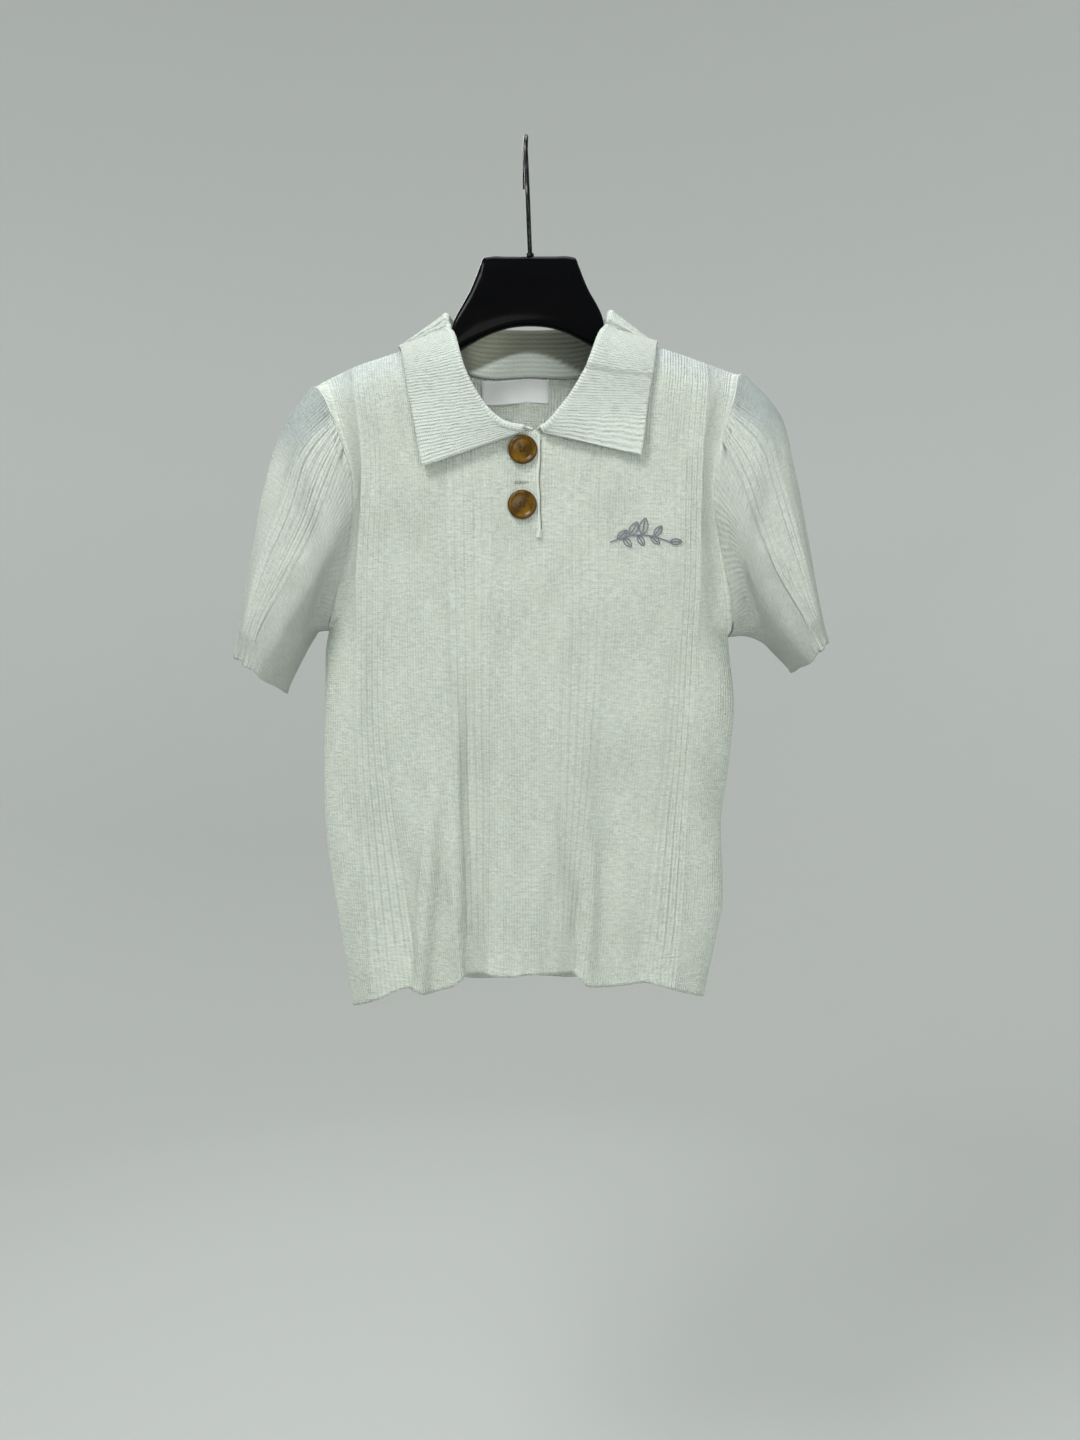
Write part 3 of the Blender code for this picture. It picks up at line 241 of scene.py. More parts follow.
# Armhole shares at which the guide lines start, and their places round the sleeve
GUIDE_STARTS = (0.0, 0.24, 0.36, 0.74, 1.0)
GUIDE_AROUND = (0.0, 0.12, 0.26, 0.40, 0.5)
CAP_FADE = 2.0  # how fast the cap's exact edge gives way to the guide lines
CUFF_WAVE = 0.0012
CUFF_WAVES = 7
# Collar, from the right front end round the back to the left front end. Columns: share, seam x,
# fold x y z, leaf edge x y z
COLLAR = (
    (0.00, 0.0030, -0.0045, -0.0460, -0.2532, -0.0870, -0.0450, -0.2872),
    (0.06, -0.0130, -0.0185, -0.0452, -0.2502, -0.0902, -0.0450, -0.2700),
    (0.12, -0.0325, -0.0318, -0.0430, -0.2408, -0.0935, -0.0440, -0.2510),
    (0.18, -0.0500, -0.0437, -0.0390, -0.2254, -0.0972, -0.0415, -0.2320),
    (0.24, -0.0625, -0.0537, -0.0310, -0.2049, -0.1012, -0.0350, -0.2120),
    (0.30, -0.0702, -0.0622, -0.0180, -0.1790, -0.1062, -0.0230, -0.1920),
    (0.36, -0.0733, -0.0688, 0.0020, -0.1478, -0.1114, 0.0000, -0.1760),
    (0.42, -0.0680, -0.0645, 0.0270, -0.1432, -0.1040, 0.0330, -0.1830),
    (0.46, -0.0500, -0.0475, 0.0415, -0.1432, -0.0700, 0.0490, -0.1960),
    (0.50, 0.0000, 0.0000, 0.0480, -0.1434, 0.0000, 0.0540, -0.2000),
    (0.54, 0.0490, 0.0465, 0.0415, -0.1430, 0.0680, 0.0490, -0.1950),
    (0.58, 0.0655, 0.0620, 0.0270, -0.1425, 0.1010, 0.0330, -0.1810),
    (0.64, 0.0708, 0.0660, 0.0020, -0.1448, 0.1082, 0.0000, -0.1745),
    (0.70, 0.0690, 0.0592, -0.0170, -0.1735, 0.1045, -0.0230, -0.1900),
    (0.76, 0.0620, 0.0485, -0.0310, -0.2008, 0.1010, -0.0350, -0.2090),
    (0.82, 0.0490, 0.0345, -0.0400, -0.2260, 0.0975, -0.0415, -0.2280),
    (0.88, 0.0325, 0.0212, -0.0440, -0.2430, 0.0950, -0.0435, -0.2450),
    (0.94, 0.0175, 0.0138, -0.0455, -0.2505, 0.0930, -0.0445, -0.2620),
    (1.00, 0.0062, 0.0080, -0.0460, -0.2542, 0.0911, -0.0445, -0.2779),
)
COLLAR_ON_FRONT = (0.36, 0.64)  # the front panel is under the seam outside these shares
FOLD_RADIUS = 0.0026
LEAF_LIFT = 0.0034  # least distance of the leaf's middle surface from the body
FOOT_LIFT = 0.0018
FOOT_WIDTH = 0.975  # the foot sits inside the neckline at the sides
# Placket and buttons
BAND_LEFT = -0.0217  # x of the notch's edges
BAND_RIGHT = 0.0075
UNDER_BAND = (-0.0190, 0.0110)
BAND_PROUD = 0.0004
BUTTON_RADIUS = 0.0119
BUTTON_THICK = 0.0042
BUTTONS = (("button_upper", -0.0056, -0.2723), ("button_lower", -0.0060, -0.3167))
# Neck label, inside the back
LABEL_SIZE = (0.0600, 0.0215)
LABEL_X = -0.0132
LABEL_DROP = 0.0008  # below the neck seam
# Hanger body. Columns: x of the right half and of the left half, z of top, z of underside, half depth
HANGER = (
    (0.0000, 0.0000, -0.0985, -0.1570, 0.0070),
    (-0.0200, 0.0200, -0.0985, -0.1592, 0.0071),
    (-0.0340, 0.0335, -0.0986, -0.1640, 0.0073),
    (-0.0395, 0.0385, -0.1000, -0.1665, 0.0074),
    (-0.0422, 0.0412, -0.1060, -0.1678, 0.0074),
    (-0.0460, 0.0450, -0.1160, -0.1700, 0.0075),
    (-0.0510, 0.0502, -0.1280, -0.1728, 0.0077),
    (-0.0572, 0.0567, -0.1395, -0.1768, 0.0080),
    (-0.0625, 0.0610, -0.1490, -0.1812, 0.0081),
    (-0.0655, 0.0630, -0.1580, -0.1850, 0.0080),
    (-0.0673, 0.0641, -0.1660, -0.1880, 0.0074),
    (-0.0686, 0.0657, -0.1745, -0.1905, 0.0060),
)
ARM_STATIONS = (0.08, 0.20, 0.38, 0.58, 0.76, 0.88, 0.95, 0.985, 1.0)
ARM_TIP = {"right": -0.1765, "left": 0.1735}
ARM_HEIGHT = 0.030
ARM_HALF_DEPTH = (0.0062, 0.0190)  # at the neck, at the widest
ARM_CLEARANCE = 0.0006
CROWN_RADIUS = 0.035  # of the section that the cloth makes over the arm
HANGER_POWER = 3.0
# Hook: wire and its route in y and z
WIRE_RADIUS = 0.0020
HOOK_RADIUS = 0.0145  # of the wire's middle, round the rail
HOOK_TAIL = 0.020  # free end below the curl
SHANK_FOOT_Z = -0.0981
HOOK_TURN = math.radians(4.0)  # the curl's plane, turned about the vertical
# The shank: share of the curl's radius that it has come forward, z
HOOK_LEG = (
    (-0.02, -0.089),
    (-0.30, -0.078),
    (-0.78, -0.066),
    (-0.98, -0.057),
    (-1.00, -0.045),
    (-1.00, -0.028),
)
ARC_STEPS = 10

# Fine relief: how far a rib's edges fall below its top, and how deep the groove beside it is
RIB_RISE = 0.00045
RIB_CUT = 0.0003
SLEEVE_RISE = 0.0012
SLEEVE_CUT = 0.0006
NOTCH_Z = -0.3432  # where the upper band ends


def smooth(knots, values, at):
    """A cubic curve through a table's rows, held at both ends."""
    knots = np.asarray(knots, float)
    values = np.asarray(values, float)
    slopes = np.gradient(values, knots)
    at = np.clip(at, knots[0], knots[-1])
    row = np.clip(np.searchsorted(knots, at, side="right") - 1, 0, len(knots) - 2)
    step = knots[row + 1] - knots[row]
    q = (at - knots[row]) / step
    start = (1 + 2 * q) * (1 - q) ** 2 * values[row] + q * (1 - q) ** 2 * step * slopes[row]
    end = q * q * (3 - 2 * q) * values[row + 1] - q * q * (1 - q) * step * slopes[row + 1]
    return start + end


def table(rows, column, at):
    """A column of a table, read at any value of its first column."""
    return smooth([row[0] for row in rows], [row[column] for row in rows], at)


def ease(low, high, value):
    """A smooth step from 0 at low to 1 at high."""
    q = np.clip((value - low) / (high - low), 0.0, 1.0)
    return q * q * (3 - 2 * q)


def bell(value, centre, width):
    """A soft bump of height 1 at the centre."""
    return np.exp(-(((value - centre) / width) ** 2))


def unit(vectors):
    return vectors / np.linalg.norm(vectors, axis=-1, keepdims=True)


def armhole_point(side, face, share):
    """A point of the armhole seam. share runs from the shoulder tip (0) to the underarm (1)."""
    share = np.asarray(share, float)
    _, under, tip = EDGE_HEIGHTS[side]
    x = table(ARMHOLE, 1 if side == "right" else 2, share)
    depth = ARMHOLE_DEPTH * np.abs(np.sin(math.pi * share)) ** 0.8 + SEAM_GAP / 2
    z = (tip + under) / 2 + (tip - under) / 2 * np.cos(math.pi * share)
    return np.stack([x, face * depth, z], axis=-1)


def edge_point(side, share):
    """x and z of a panel's edge, from the hem corner (0) to the shoulder tip (1)."""
    corner, under, _ = EDGE_HEIGHTS[side]
    down = 1 - np.clip(share / UNDERARM_SHARE, 0, 1)
    seam_x = table(SIDE_SEAM, 1 if side == "right" else 2, down)
    seam_z = under + (corner - under) * down
    hole = armhole_point(side, 1, np.clip((1 - share) / (1 - UNDERARM_SHARE), 0, 1))
    on_seam = share <= UNDERARM_SHARE
    return np.where(on_seam, seam_x, hole[..., 0]), np.where(on_seam, seam_z, hole[..., 2])


def edge_at_height(side, z):
    """x and depth of a panel's edge at a height."""
    corner, under, tip = EDGE_HEIGHTS[side]
    down = np.clip((under - z) / (under - corner), 0, 1)
    middle = (tip + under) / 2
    share = np.arccos(np.clip((z - middle) / (tip - middle), -1, 1)) / math.pi
    hole = armhole_point(side, 1, share)
    seam_x = table(SIDE_SEAM, 1 if side == "right" else 2, down)
    below = z <= under
    return np.where(below, seam_x, hole[..., 0]), np.where(below, SEAM_GAP / 2, hole[..., 1])


def fold_height(folds, x, z):
    """How far the soft folds push the cloth out at x, z."""
    total = np.zeros(np.broadcast(x, z).shape)
    for top_x, top_z, foot_x, foot_z, width, height, runs_out in folds:
        along_x, along_z = foot_x - top_x, foot_z - top_z
        length = math.hypot(along_x, along_z)
        share = ((x - top_x) * along_x + (z - top_z) * along_z) / length**2
        off = ((x - top_x) * along_z - (z - top_z) * along_x) / length
        swell = ease(0.0, 0.45, share) * (1 - runs_out * ease(0.55, 1.0, share))
        total = total + height * swell * bell(off, 0, width)
    return total


def body_depth(face, x, z):
    """How far the cloth lies from the middle plane at x, z."""
    right_x, right_depth = edge_at_height("right", z)
    left_x, left_depth = edge_at_height("left", z)
    across = np.clip((x - right_x) / (left_x - right_x), 0, 1)
    edge = right_depth + (left_depth - right_depth) * across
    under = EDGE_HEIGHTS["right"][1]
    blunt = 0.5 + 0.5 * ease(under - 0.02, under + 0.06, z)
    round_side = (1 - np.abs(2 * across - 1) ** SECTION_POWER) ** blunt
    drop = np.clip((table(CROWN, 1, x) - z) / CROWN_DROP, 0, 1)
    round_top = np.sqrt(1 - (1 - drop) ** 2)
    full = table(BODY_DEPTH, 1 if face < 0 else 2, z)
    folds = fold_height(FOLDS_FRONT if face < 0 else FOLDS_BACK, x, z)
    depth = edge * (1 - round_side) + (full + folds) * round_top * round_side
    return np.maximum(depth, SEAM_GAP / 2)


def neckline(face, x):
    return table(NECK_FRONT if face < 0 else NECK_BACK, 1, x)


def panel_top(face, x):
    """z of a panel's top edge: shoulder, neckline, shoulder."""
    on_neck = (x > NECK_FRONT[0][0]) & (x < NECK_FRONT[-1][0])
    return np.where(on_neck, neckline(face, x), table(CROWN, 1, x))


def column_knots(share):
    """x of the panel's edges, its rib groups and its notch at one panel share."""
    groups = [table(RIB_GROUPS, column, share) for column in range(1, 9)]
    right = edge_point("right", share)[0]
    left = edge_point("left", share)[0]
    return [right, *groups[:4], BAND_LEFT, BAND_RIGHT, *groups[4:], left]


def panel_columns(share, cells):
    """x of every grid column at one panel share."""
    knots = column_knots(share)
    side_power = 2.0 - ease(UNDERARM_SHARE - 0.08, UNDERARM_SHARE + 0.06, share)
    columns = []
    for index, count in enumerate(cells):
        q = np.arange(count) / count
        if index == 0:
            q = q**side_power
        if index == len(cells) - 1:
            q = 1 - (1 - q) ** side_power
        columns.extend(knots[index] + (knots[index + 1] - knots[index]) * q)
    columns.append(knots[-1])
    return np.array(columns)


def edge_line(x, share):
    """z of the straight line between the panel's two edges at one panel share."""
    right_z = edge_point("right", share)[1]
    left_z = edge_point("left", share)[1]
    return right_z + (left_z - right_z) * (x - x[0]) / (x[-1] - x[0])


def panel_points(face, rows, cells):
    """The panel's smooth face, a row of points for each panel share.

    A row leaves the straight line between its ends as the hem and the top edge do, more like the one
    that it is nearer to.
    """
    hem = HEM_FRONT if face < 0 else HEM_BACK
    foot_x, top_x = panel_columns(0.0, cells), panel_columns(1.0, cells)
    foot_line, top_line = edge_line(foot_x, 0.0), edge_line(top_x, 1.0)
    foot_bow = table(hem, 1, foot_x) - foot_line
    top_bow = panel_top(face, top_x) - top_line
    inner = np.ones(len(foot_x))
    inner[: cells[0]] = np.arange(cells[0]) / cells[0]
    inner[-cells[-1] :] = 1 - np.arange(1, cells[-1] + 1) / cells[-1]
    under = float(np.mean([edge_point(side, UNDERARM_SHARE)[1] for side in ("right", "left")]))
    crown = float(np.mean([edge_point(side, 1.0)[1] for side in ("right", "left")]))
    points = []
    for share in rows:
        x = panel_columns(share, cells)
        if share > UNDERARM_SHARE:
            height = float(np.mean([edge_point(side, share)[1] for side in ("right", "left")]))
            climbed = UNDERARM_SHARE + (1 - UNDERARM_SHARE) * (height - under) / (crown - under)
            x = x + (panel_columns(climbed, cells) - x) * inner
        line = edge_line(x, share)
        risen = (line[0] + line[-1] - foot_line[0] - foot_line[-1]) / (
            top_line[0] + top_line[-1] - foot_line[0] - foot_line[-1]
        )
        z = line + (1 - risen) * foot_bow + risen * top_bow
        points.append(np.stack([x, face * body_depth(face, x, z), z], axis=-1))
    return np.array(points)


def grid_normals(points, flip, wrapped=False):
    """Unit normals of a grid, from the slopes along its rows and columns."""
    up = np.gradient(points, axis=0)
    if wrapped:
        across = np.roll(points, -1, axis=1) - np.roll(points, 1, axis=1)
    else:
        across = np.gradient(points, axis=1)
    return unit(np.cross(across, up) * (-1.0 if flip else 1.0))


def panel_normals(face, points, rows):
    """Normals that lie in the seam's plane along the side seams and the shoulder seams."""
    normals = grid_normals(points, flip=face > 0)
    on_seam = rows <= UNDERARM_SHARE + 1e-6
    normals[on_seam, 0] = (-1.0, 0.0, 0.0)
    normals[on_seam, -1] = (1.0, 0.0, 0.0)
    x = points[-1, :, 0]
    shoulder = (x <= NECK_FRONT[0][0] + 1e-6) | (x >= NECK_FRONT[-1][0] - 1e-6)
    normals[-1, shoulder, 1] = 0.0
    return unit(normals)


def guide_table(side, face):
    """Guide lines of one sleeve half: shares, and for each line its points at those shares."""
    starts = armhole_point(side, face, np.array(GUIDE_STARTS))
    rows = [starts]
    for row in SLEEVES[side]:
        crown_x, crown_z = row[1:3]
        under_x, under_z = row[12:14]
        lines = [(row[k], face * row[k + 1], row[k + 2]) for k in (3, 6, 9)]
        rows.append(np.array([(crown_x, 0, crown_z), *lines, (under_x, 0, under_z)]))
    return [0.0] + [row[0] for row in SLEEVES[side]], np.array(rows)


def guide_points(side, face, share):
    shares, lines = guide_table(side, face)
    return np.array(
        [[smooth(shares, lines[:, k, axis], share) for axis in range(3)] for k in range(lines.shape[1])]
    )


def ring_curve(side, share, around):
    """A ring of the sleeve through its guide lines. around is 0 at the crown and 0.5 at the underarm."""
    front = guide_points(side, -1, share)
    back = guide_points(side, 1, share)
    front[0, 1] = front[-1, 1] = 0.0
    ring = np.concatenate([front, back[-2:0:-1]])
    places = np.concatenate([GUIDE_AROUND, 1 - np.array(GUIDE_AROUND[-2:0:-1])])
    knots = np.concatenate([places[-3:] - 1, places, places[:4] + 1])
    values = np.concatenate([ring[-3:], ring, ring[:4]])
    return np.stack([smooth(knots, values[:, axis], around) for axis in range(3)], axis=-1)


def cap_edge(side, around):
    """The cap seam: the armhole's own points, moved out by the seam gap."""
    half = np.where(around <= 0.5, around, 1 - around)
    share = np.interp(half, GUIDE_AROUND, GUIDE_STARTS)
    points = armhole_point(side, 1, share)
    points[:, 1] *= np.where(around <= 0.5, -1.0, 1.0)
    points[:, 1] *= ((share > 0) & (share < 1)).astype(float)
    points[:, 0] += SEAM_GAP * (-1 if side == "right" else 1)
    return points


def sleeve_points(side, shares, around):
    cap = cap_edge(side, around)
    first = ring_curve(side, 0.0, around)
    rings = []
    for share in shares:
        ring = ring_curve(side, share, around) + (cap - first) * (1 - share) ** CAP_FADE
        ring[:, 2] += CUFF_WAVE * share**6 * np.sin(2 * math.pi * CUFF_WAVES * around)
        rings.append(ring)
    return np.array(rings)


def panel_surface(face, x, z):
    """A point of the smooth body and its outward normal, away from the side seams."""
    step = 0.0005
    depth = body_depth(face, x, z)
    slope_x = (body_depth(face, x + step, z) - body_depth(face, x - step, z)) / (2 * step)
    slope_z = (body_depth(face, x, z + step) - body_depth(face, x, z - step)) / (2 * step)
    point = np.stack([x, face * depth, z], axis=-1)
    normal = unit(np.stack([-slope_x, np.full_like(depth, face), -slope_z], axis=-1))
    return point, normal


def collar_lines(shares):
    """Seam, fold and leaf edge of the collar at the given shares."""
    seam = []
    necks = {face: panel_points(face, np.array([1.0]), fine_cells())[0] for face in (-1, 1)}
    for share in shares:
        x = table(COLLAR, 1, share)
        on_front = share <= COLLAR_ON_FRONT[0] or share >= COLLAR_ON_FRONT[1]
        neck = necks[-1 if on_front else 1]
        seam.append([x, *(np.interp(x, neck[:, 0], neck[:, axis]) for axis in (1, 2))])
    fold = np.stack([table(COLLAR, column, shares) for column in (2, 3, 4)], axis=-1)
    edge = np.stack([table(COLLAR, column, shares) for column in (5, 6, 7)], axis=-1)
    return np.array(seam), fold, edge


def off_body(points, lift):
    """The points, moved out where they lie closer to the body than the lift."""
    x, y, z = points.T
    middle = table(CROWN, 1, x) - CROWN_DROP
    low = np.minimum(z, middle)
    full = np.where(y < 0, body_depth(-1, x, low), body_depth(1, x, low))
    reach = np.hypot(y / full, np.maximum(z - middle, 0) / CROWN_DROP)
    scale = np.maximum(1.0, (1 + lift / full) / reach)
    return np.stack([x, y * scale, np.where(z > middle, middle + (z - middle) * scale, z)], axis=-1)


def collar_surface(shares, stand, turn, leaf):
    """Middle surface of the collar: up the stand, over the fold and down the leaf."""
    seam, fold, edge = collar_lines(shares)
    fold = off_body(fold, FOLD_RADIUS / 2)
    along = unit(np.gradient(fold, axis=0))
    rise = unit(fold - seam)
    seam_line = unit(np.gradient(seam, axis=0))
    square = unit(rise - seam_line * np.sum(rise * seam_line, axis=1, keepdims=True))
    foot = seam + square * FOOT_LIFT
    foot[:, 0] *= FOOT_WIDTH
    rise = unit(rise - along * np.sum(rise * along, axis=1, keepdims=True))
    out = edge - fold
    out = out - along * np.sum(out * along, axis=1, keepdims=True)
    out = unit(out - rise * np.sum(out * rise, axis=1, keepdims=True))
    shoulder = fold - rise * FOLD_RADIUS
    columns = [foot + (shoulder - foot) * k / stand for k in range(stand)]
    for k in range(turn + 1):
        angle = math.pi * k / turn
        turned = shoulder + FOLD_RADIUS * (rise * math.sin(angle) + out * (1 - math.cos(angle)))
        lift = LEAF_LIFT * (2 * k / turn - 1)
        columns.append(off_body(turned, lift) if lift > 0 else turned)
    start = columns[-1]
    for k in range(1, leaf + 1):
        q = k / leaf
        columns.append(off_body(start + (edge - start) * q, LEAF_LIFT))
    return np.stack(columns, axis=1)


def hanger_sections():
    """Rings of the hanger from the right tip to the left tip: x, top z, underside z, half depth."""
    rows = {"right": [], "left": []}
    for right_x, left_x, top, low, depth in HANGER:
        rows["right"].append((right_x, top, low, depth))
        rows["left"].append((left_x, top, low, depth))
    for side, column in (("right", 0), ("left", 1)):
        start_x = HANGER[-1][column]
        low_start = HANGER[-1][3]
        for share in ARM_STATIONS:
            x = start_x + (ARM_TIP[side] - start_x) * share
            crown = float(table(CROWN, 1, x)) - CLOTH - ARM_CLEARANCE
            sink = 0.0006 + 0.0030 * (1 - share) ** 8 + 0.013 * max(0.0, (share - 0.85) / 0.15) ** 2.2
            top = crown - sink
            full_low = float(table(CROWN, 1, x)) - ARM_HEIGHT
            low = full_low + (low_start - (float(table(CROWN, 1, start_x)) - ARM_HEIGHT)) * (1 - share) ** 3
            low = low + 0.006 * max(0.0, (share - 0.85) / 0.15) ** 2
            swell = ease(0.0, 0.6, share)
            depth = ARM_HALF_DEPTH[0] + (ARM_HALF_DEPTH[1] - ARM_HALF_DEPTH[0]) * swell
            depth = depth * math.sqrt(max(0.08, 1 - max(0.0, (share - 0.80) / 0.205) ** 2))
            rows[side].append((x, top, low, depth))
    return rows["right"][::-1] + rows["left"][1:]


def hanger_ring(x, top, low, depth, sides):
    """One section. Under the cloth its top follows the cloth's inside."""
    points = []
    crown = float(table(CROWN, 1, x)) - CLOTH - ARM_CLEARANCE
    covered = abs(x) > -HANGER[-1][0] - 0.001
    for k in range(sides):
        angle = 2 * math.pi * (k + 0.5) / sides
        cosine, sine = math.cos(angle), math.sin(angle)
        y = depth * math.copysign(abs(sine) ** (2 / HANGER_POWER), sine)
        z = (top + low) / 2 + (top - low) / 2 * math.copysign(abs(cosine) ** (2 / HANGER_POWER), cosine)
        if covered:
            face = -1 if y < 0 else 1
            radius = min(CROWN_RADIUS, float(body_depth(face, x, crown - CROWN_DROP)))
            lean = min(1.0, (abs(y) + CLOTH) / radius)
            z = min(z, crown - CROWN_DROP * (1 - math.sqrt(1 - lean**2)))
            room = float(body_depth(face, x, z)) - CLOTH - 5 * ARM_CLEARANCE
            y = face * min(abs(y), max(room, 0.0005))
        points.append((x, y, z))
    return points


def hook_route():
    """The wire's middle line, from the hanger up the front of the rail, over it and down behind."""
    top = WIRE_RADIUS
    centre = top - HOOK_RADIUS
    route = [(HANG_X, 0.0, SHANK_FOOT_Z)]
    for reach, z in HOOK_LEG:
        lean = HANG_X * (z - centre) / (SHANK_FOOT_Z - centre)
        route.append((lean, reach * HOOK_RADIUS, z))
    for k in range(ARC_STEPS + 1):
        angle = math.pi * k / ARC_STEPS
        y = -HOOK_RADIUS * math.cos(angle)
        x = -y * math.tan(HOOK_TURN) * math.sin(angle / 2)
        route.append((x, y, centre + HOOK_RADIUS * math.sin(angle)))
    tail_x = -HOOK_RADIUS * math.tan(HOOK_TURN)
    route.append((tail_x, HOOK_RADIUS, centre - HOOK_TAIL * 0.5))
    route.append((tail_x, HOOK_RADIUS * 1.12, centre - HOOK_TAIL))
    return route


# ---------------------------------------------------------------- fine grids

FINE_SIDE = 12
FINE_RIB = 8  # columns of one rib
FINE_GAP = 14
FINE_MIDDLE = (8, 10, 6)
FINE_SEAM_ROWS = 92
FINE_ARMHOLE_ROWS = 70
FINE_SLEEVE = (14, 6 * FINE_RIB, 12, 12)
FINE_SLEEVE_ROWS = 84
FINE_COLLAR = (216, 24, 10, 34)  # stations along it, columns of the stand, of the fold and of the leaf
FINE_BAND = (41, 76)
FINE_LABEL = (40, 18)
SHIFT = np.array((HANG_X, 0.0, 0.0))
RIPPLES = 14
MM = 1000.0


def fine_cells():
    rib = FINE_RIB * RIBS_IN_GROUP
    return [FINE_SIDE, rib, FINE_GAP, rib, *FINE_MIDDLE, rib, FINE_GAP, rib, FINE_SIDE]


def fine_rows():
    q = np.arange(FINE_ARMHOLE_ROWS + 1) / FINE_ARMHOLE_ROWS
    armhole = 1 - (1 - UNDERARM_SHARE) * (1 - q) ** 1.3
    return np.concatenate([UNDERARM_SHARE * np.arange(FINE_SEAM_ROWS) / FINE_SEAM_ROWS, armhole])


def rib_profile(q):
    """Height and groove share across one rib, from its edge (0) over its top to its other edge (1)."""
    top = np.clip(np.sin(math.pi * np.clip(q, 0, 1)), 0, 1) ** 0.35
    return top, bell(np.minimum(q, 1 - q), 0, 0.09)


def column_ribs(cells, ribbed):
    """Rib height and groove share of every column of a grid with these cells."""
    ribs = []
    for index, count in enumerate(cells):
        for k in range(count):
            if k == 0 and (index in ribbed or index - 1 in ribbed):
                ribs.append((1.0, 0.5))
            elif index in ribbed:
                ribs.append(rib_profile((k % FINE_RIB) / FINE_RIB))
            else:
                ribs.append((1.0, 0.0))
    return np.array([*ribs, (1.0, 0.0)], float).T


def ripple(x, z, seed):
    """Small unevenness of hanging knit, in metres."""
    rng = np.random.default_rng(seed)
    total = np.zeros(np.broadcast(x, z).shape)
    for _ in range(RIPPLES):
        turn = rng.uniform(0, math.pi)
        length = rng.uniform(0.022, 0.085)
        phase = rng.uniform(0, 2 * math.pi)
        across = x * math.cos(turn) + z * math.sin(turn) * 0.55
        total = total + np.sin(2 * math.pi * across / length + phase) * length * 0.0022
    return total


def mesh_of(name, points, faces, made_of):
    mesh = bpy.data.meshes.new(name)
    mesh.from_pydata(np.reshape(points, (-1, 3)).tolist(), [], faces)
    mesh.shade_smooth()
    mesh.materials.append(made_of)
    return mesh


def set_values(mesh, values):
    """Values of every point that the material reads."""
    for key, numbers in values.items():
        mesh.attributes.new(key, "FLOAT", "POINT").data.foreach_set("value", numbers)


def ring_faces(rings, sides):
    """Faces between the rings of a turned or lofted shape."""
    faces = []
    for ring in range(rings - 1):
        for k in range(sides):
            a, b = ring * sides + k, ring * sides + (k + 1) % sides
            faces.append((a, b, b + sides, a + sides))
    return faces


def linked(name, data):
    made = bpy.data.objects.new(name, data)
    bpy.context.scene.collection.objects.link(made)
    return made


def ride(made, stands_for=()):
    """Puts an object in the part's one body and hides the solids that it stands for."""
    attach(made, "root")
    if stands_for:
        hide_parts(*stands_for)


def surface_object(name, points, uv, made_of, thick, offset=-1.0, wrapped=False, values=None):
    """A cloth piece: a grid of faces with a map in millimetres, thickened into a wall."""
    rows, columns = points.shape[:2]
    index = np.arange(rows * columns).reshape(rows, columns)
    if wrapped:
        index = np.concatenate([index, index[:, :1]], axis=1)
        extra = uv[:, :1].copy()
        extra[..., 0] = uv[:, -1:, 0] + (uv[:, -1:, 0] - uv[:, -2:-1, 0])
        uv = np.concatenate([uv, extra], axis=1)

    def corners(grid, axis):
        return np.stack([grid[:-1, :-1], grid[:-1, 1:], grid[1:, 1:], grid[1:, :-1]], axis=axis)

    mesh = mesh_of(name, points + SHIFT, corners(index, -1).reshape(-1, 4).tolist(), made_of)
    layer = mesh.uv_layers.new(name="cloth_mm")
    layer.data.foreach_set("uv", corners(uv, 2).astype(np.float32).ravel())
    set_values(mesh, {key: grid.astype(np.float32).ravel() for key, grid in (values or {}).items()})
    made = linked(name, mesh)
    wall = made.modifiers.new("wall", "SOLIDIFY")
    wall.thickness = thick
    wall.offset = offset
    wall.use_even_offset = False
    wall.use_quality_normals = True
    return made


def declare(piece, node):
    """Puts a cloth piece in the part's body and hides the solid that it stands for."""
    ride(piece, [node])


# ---------------------------------------------------------------- materials


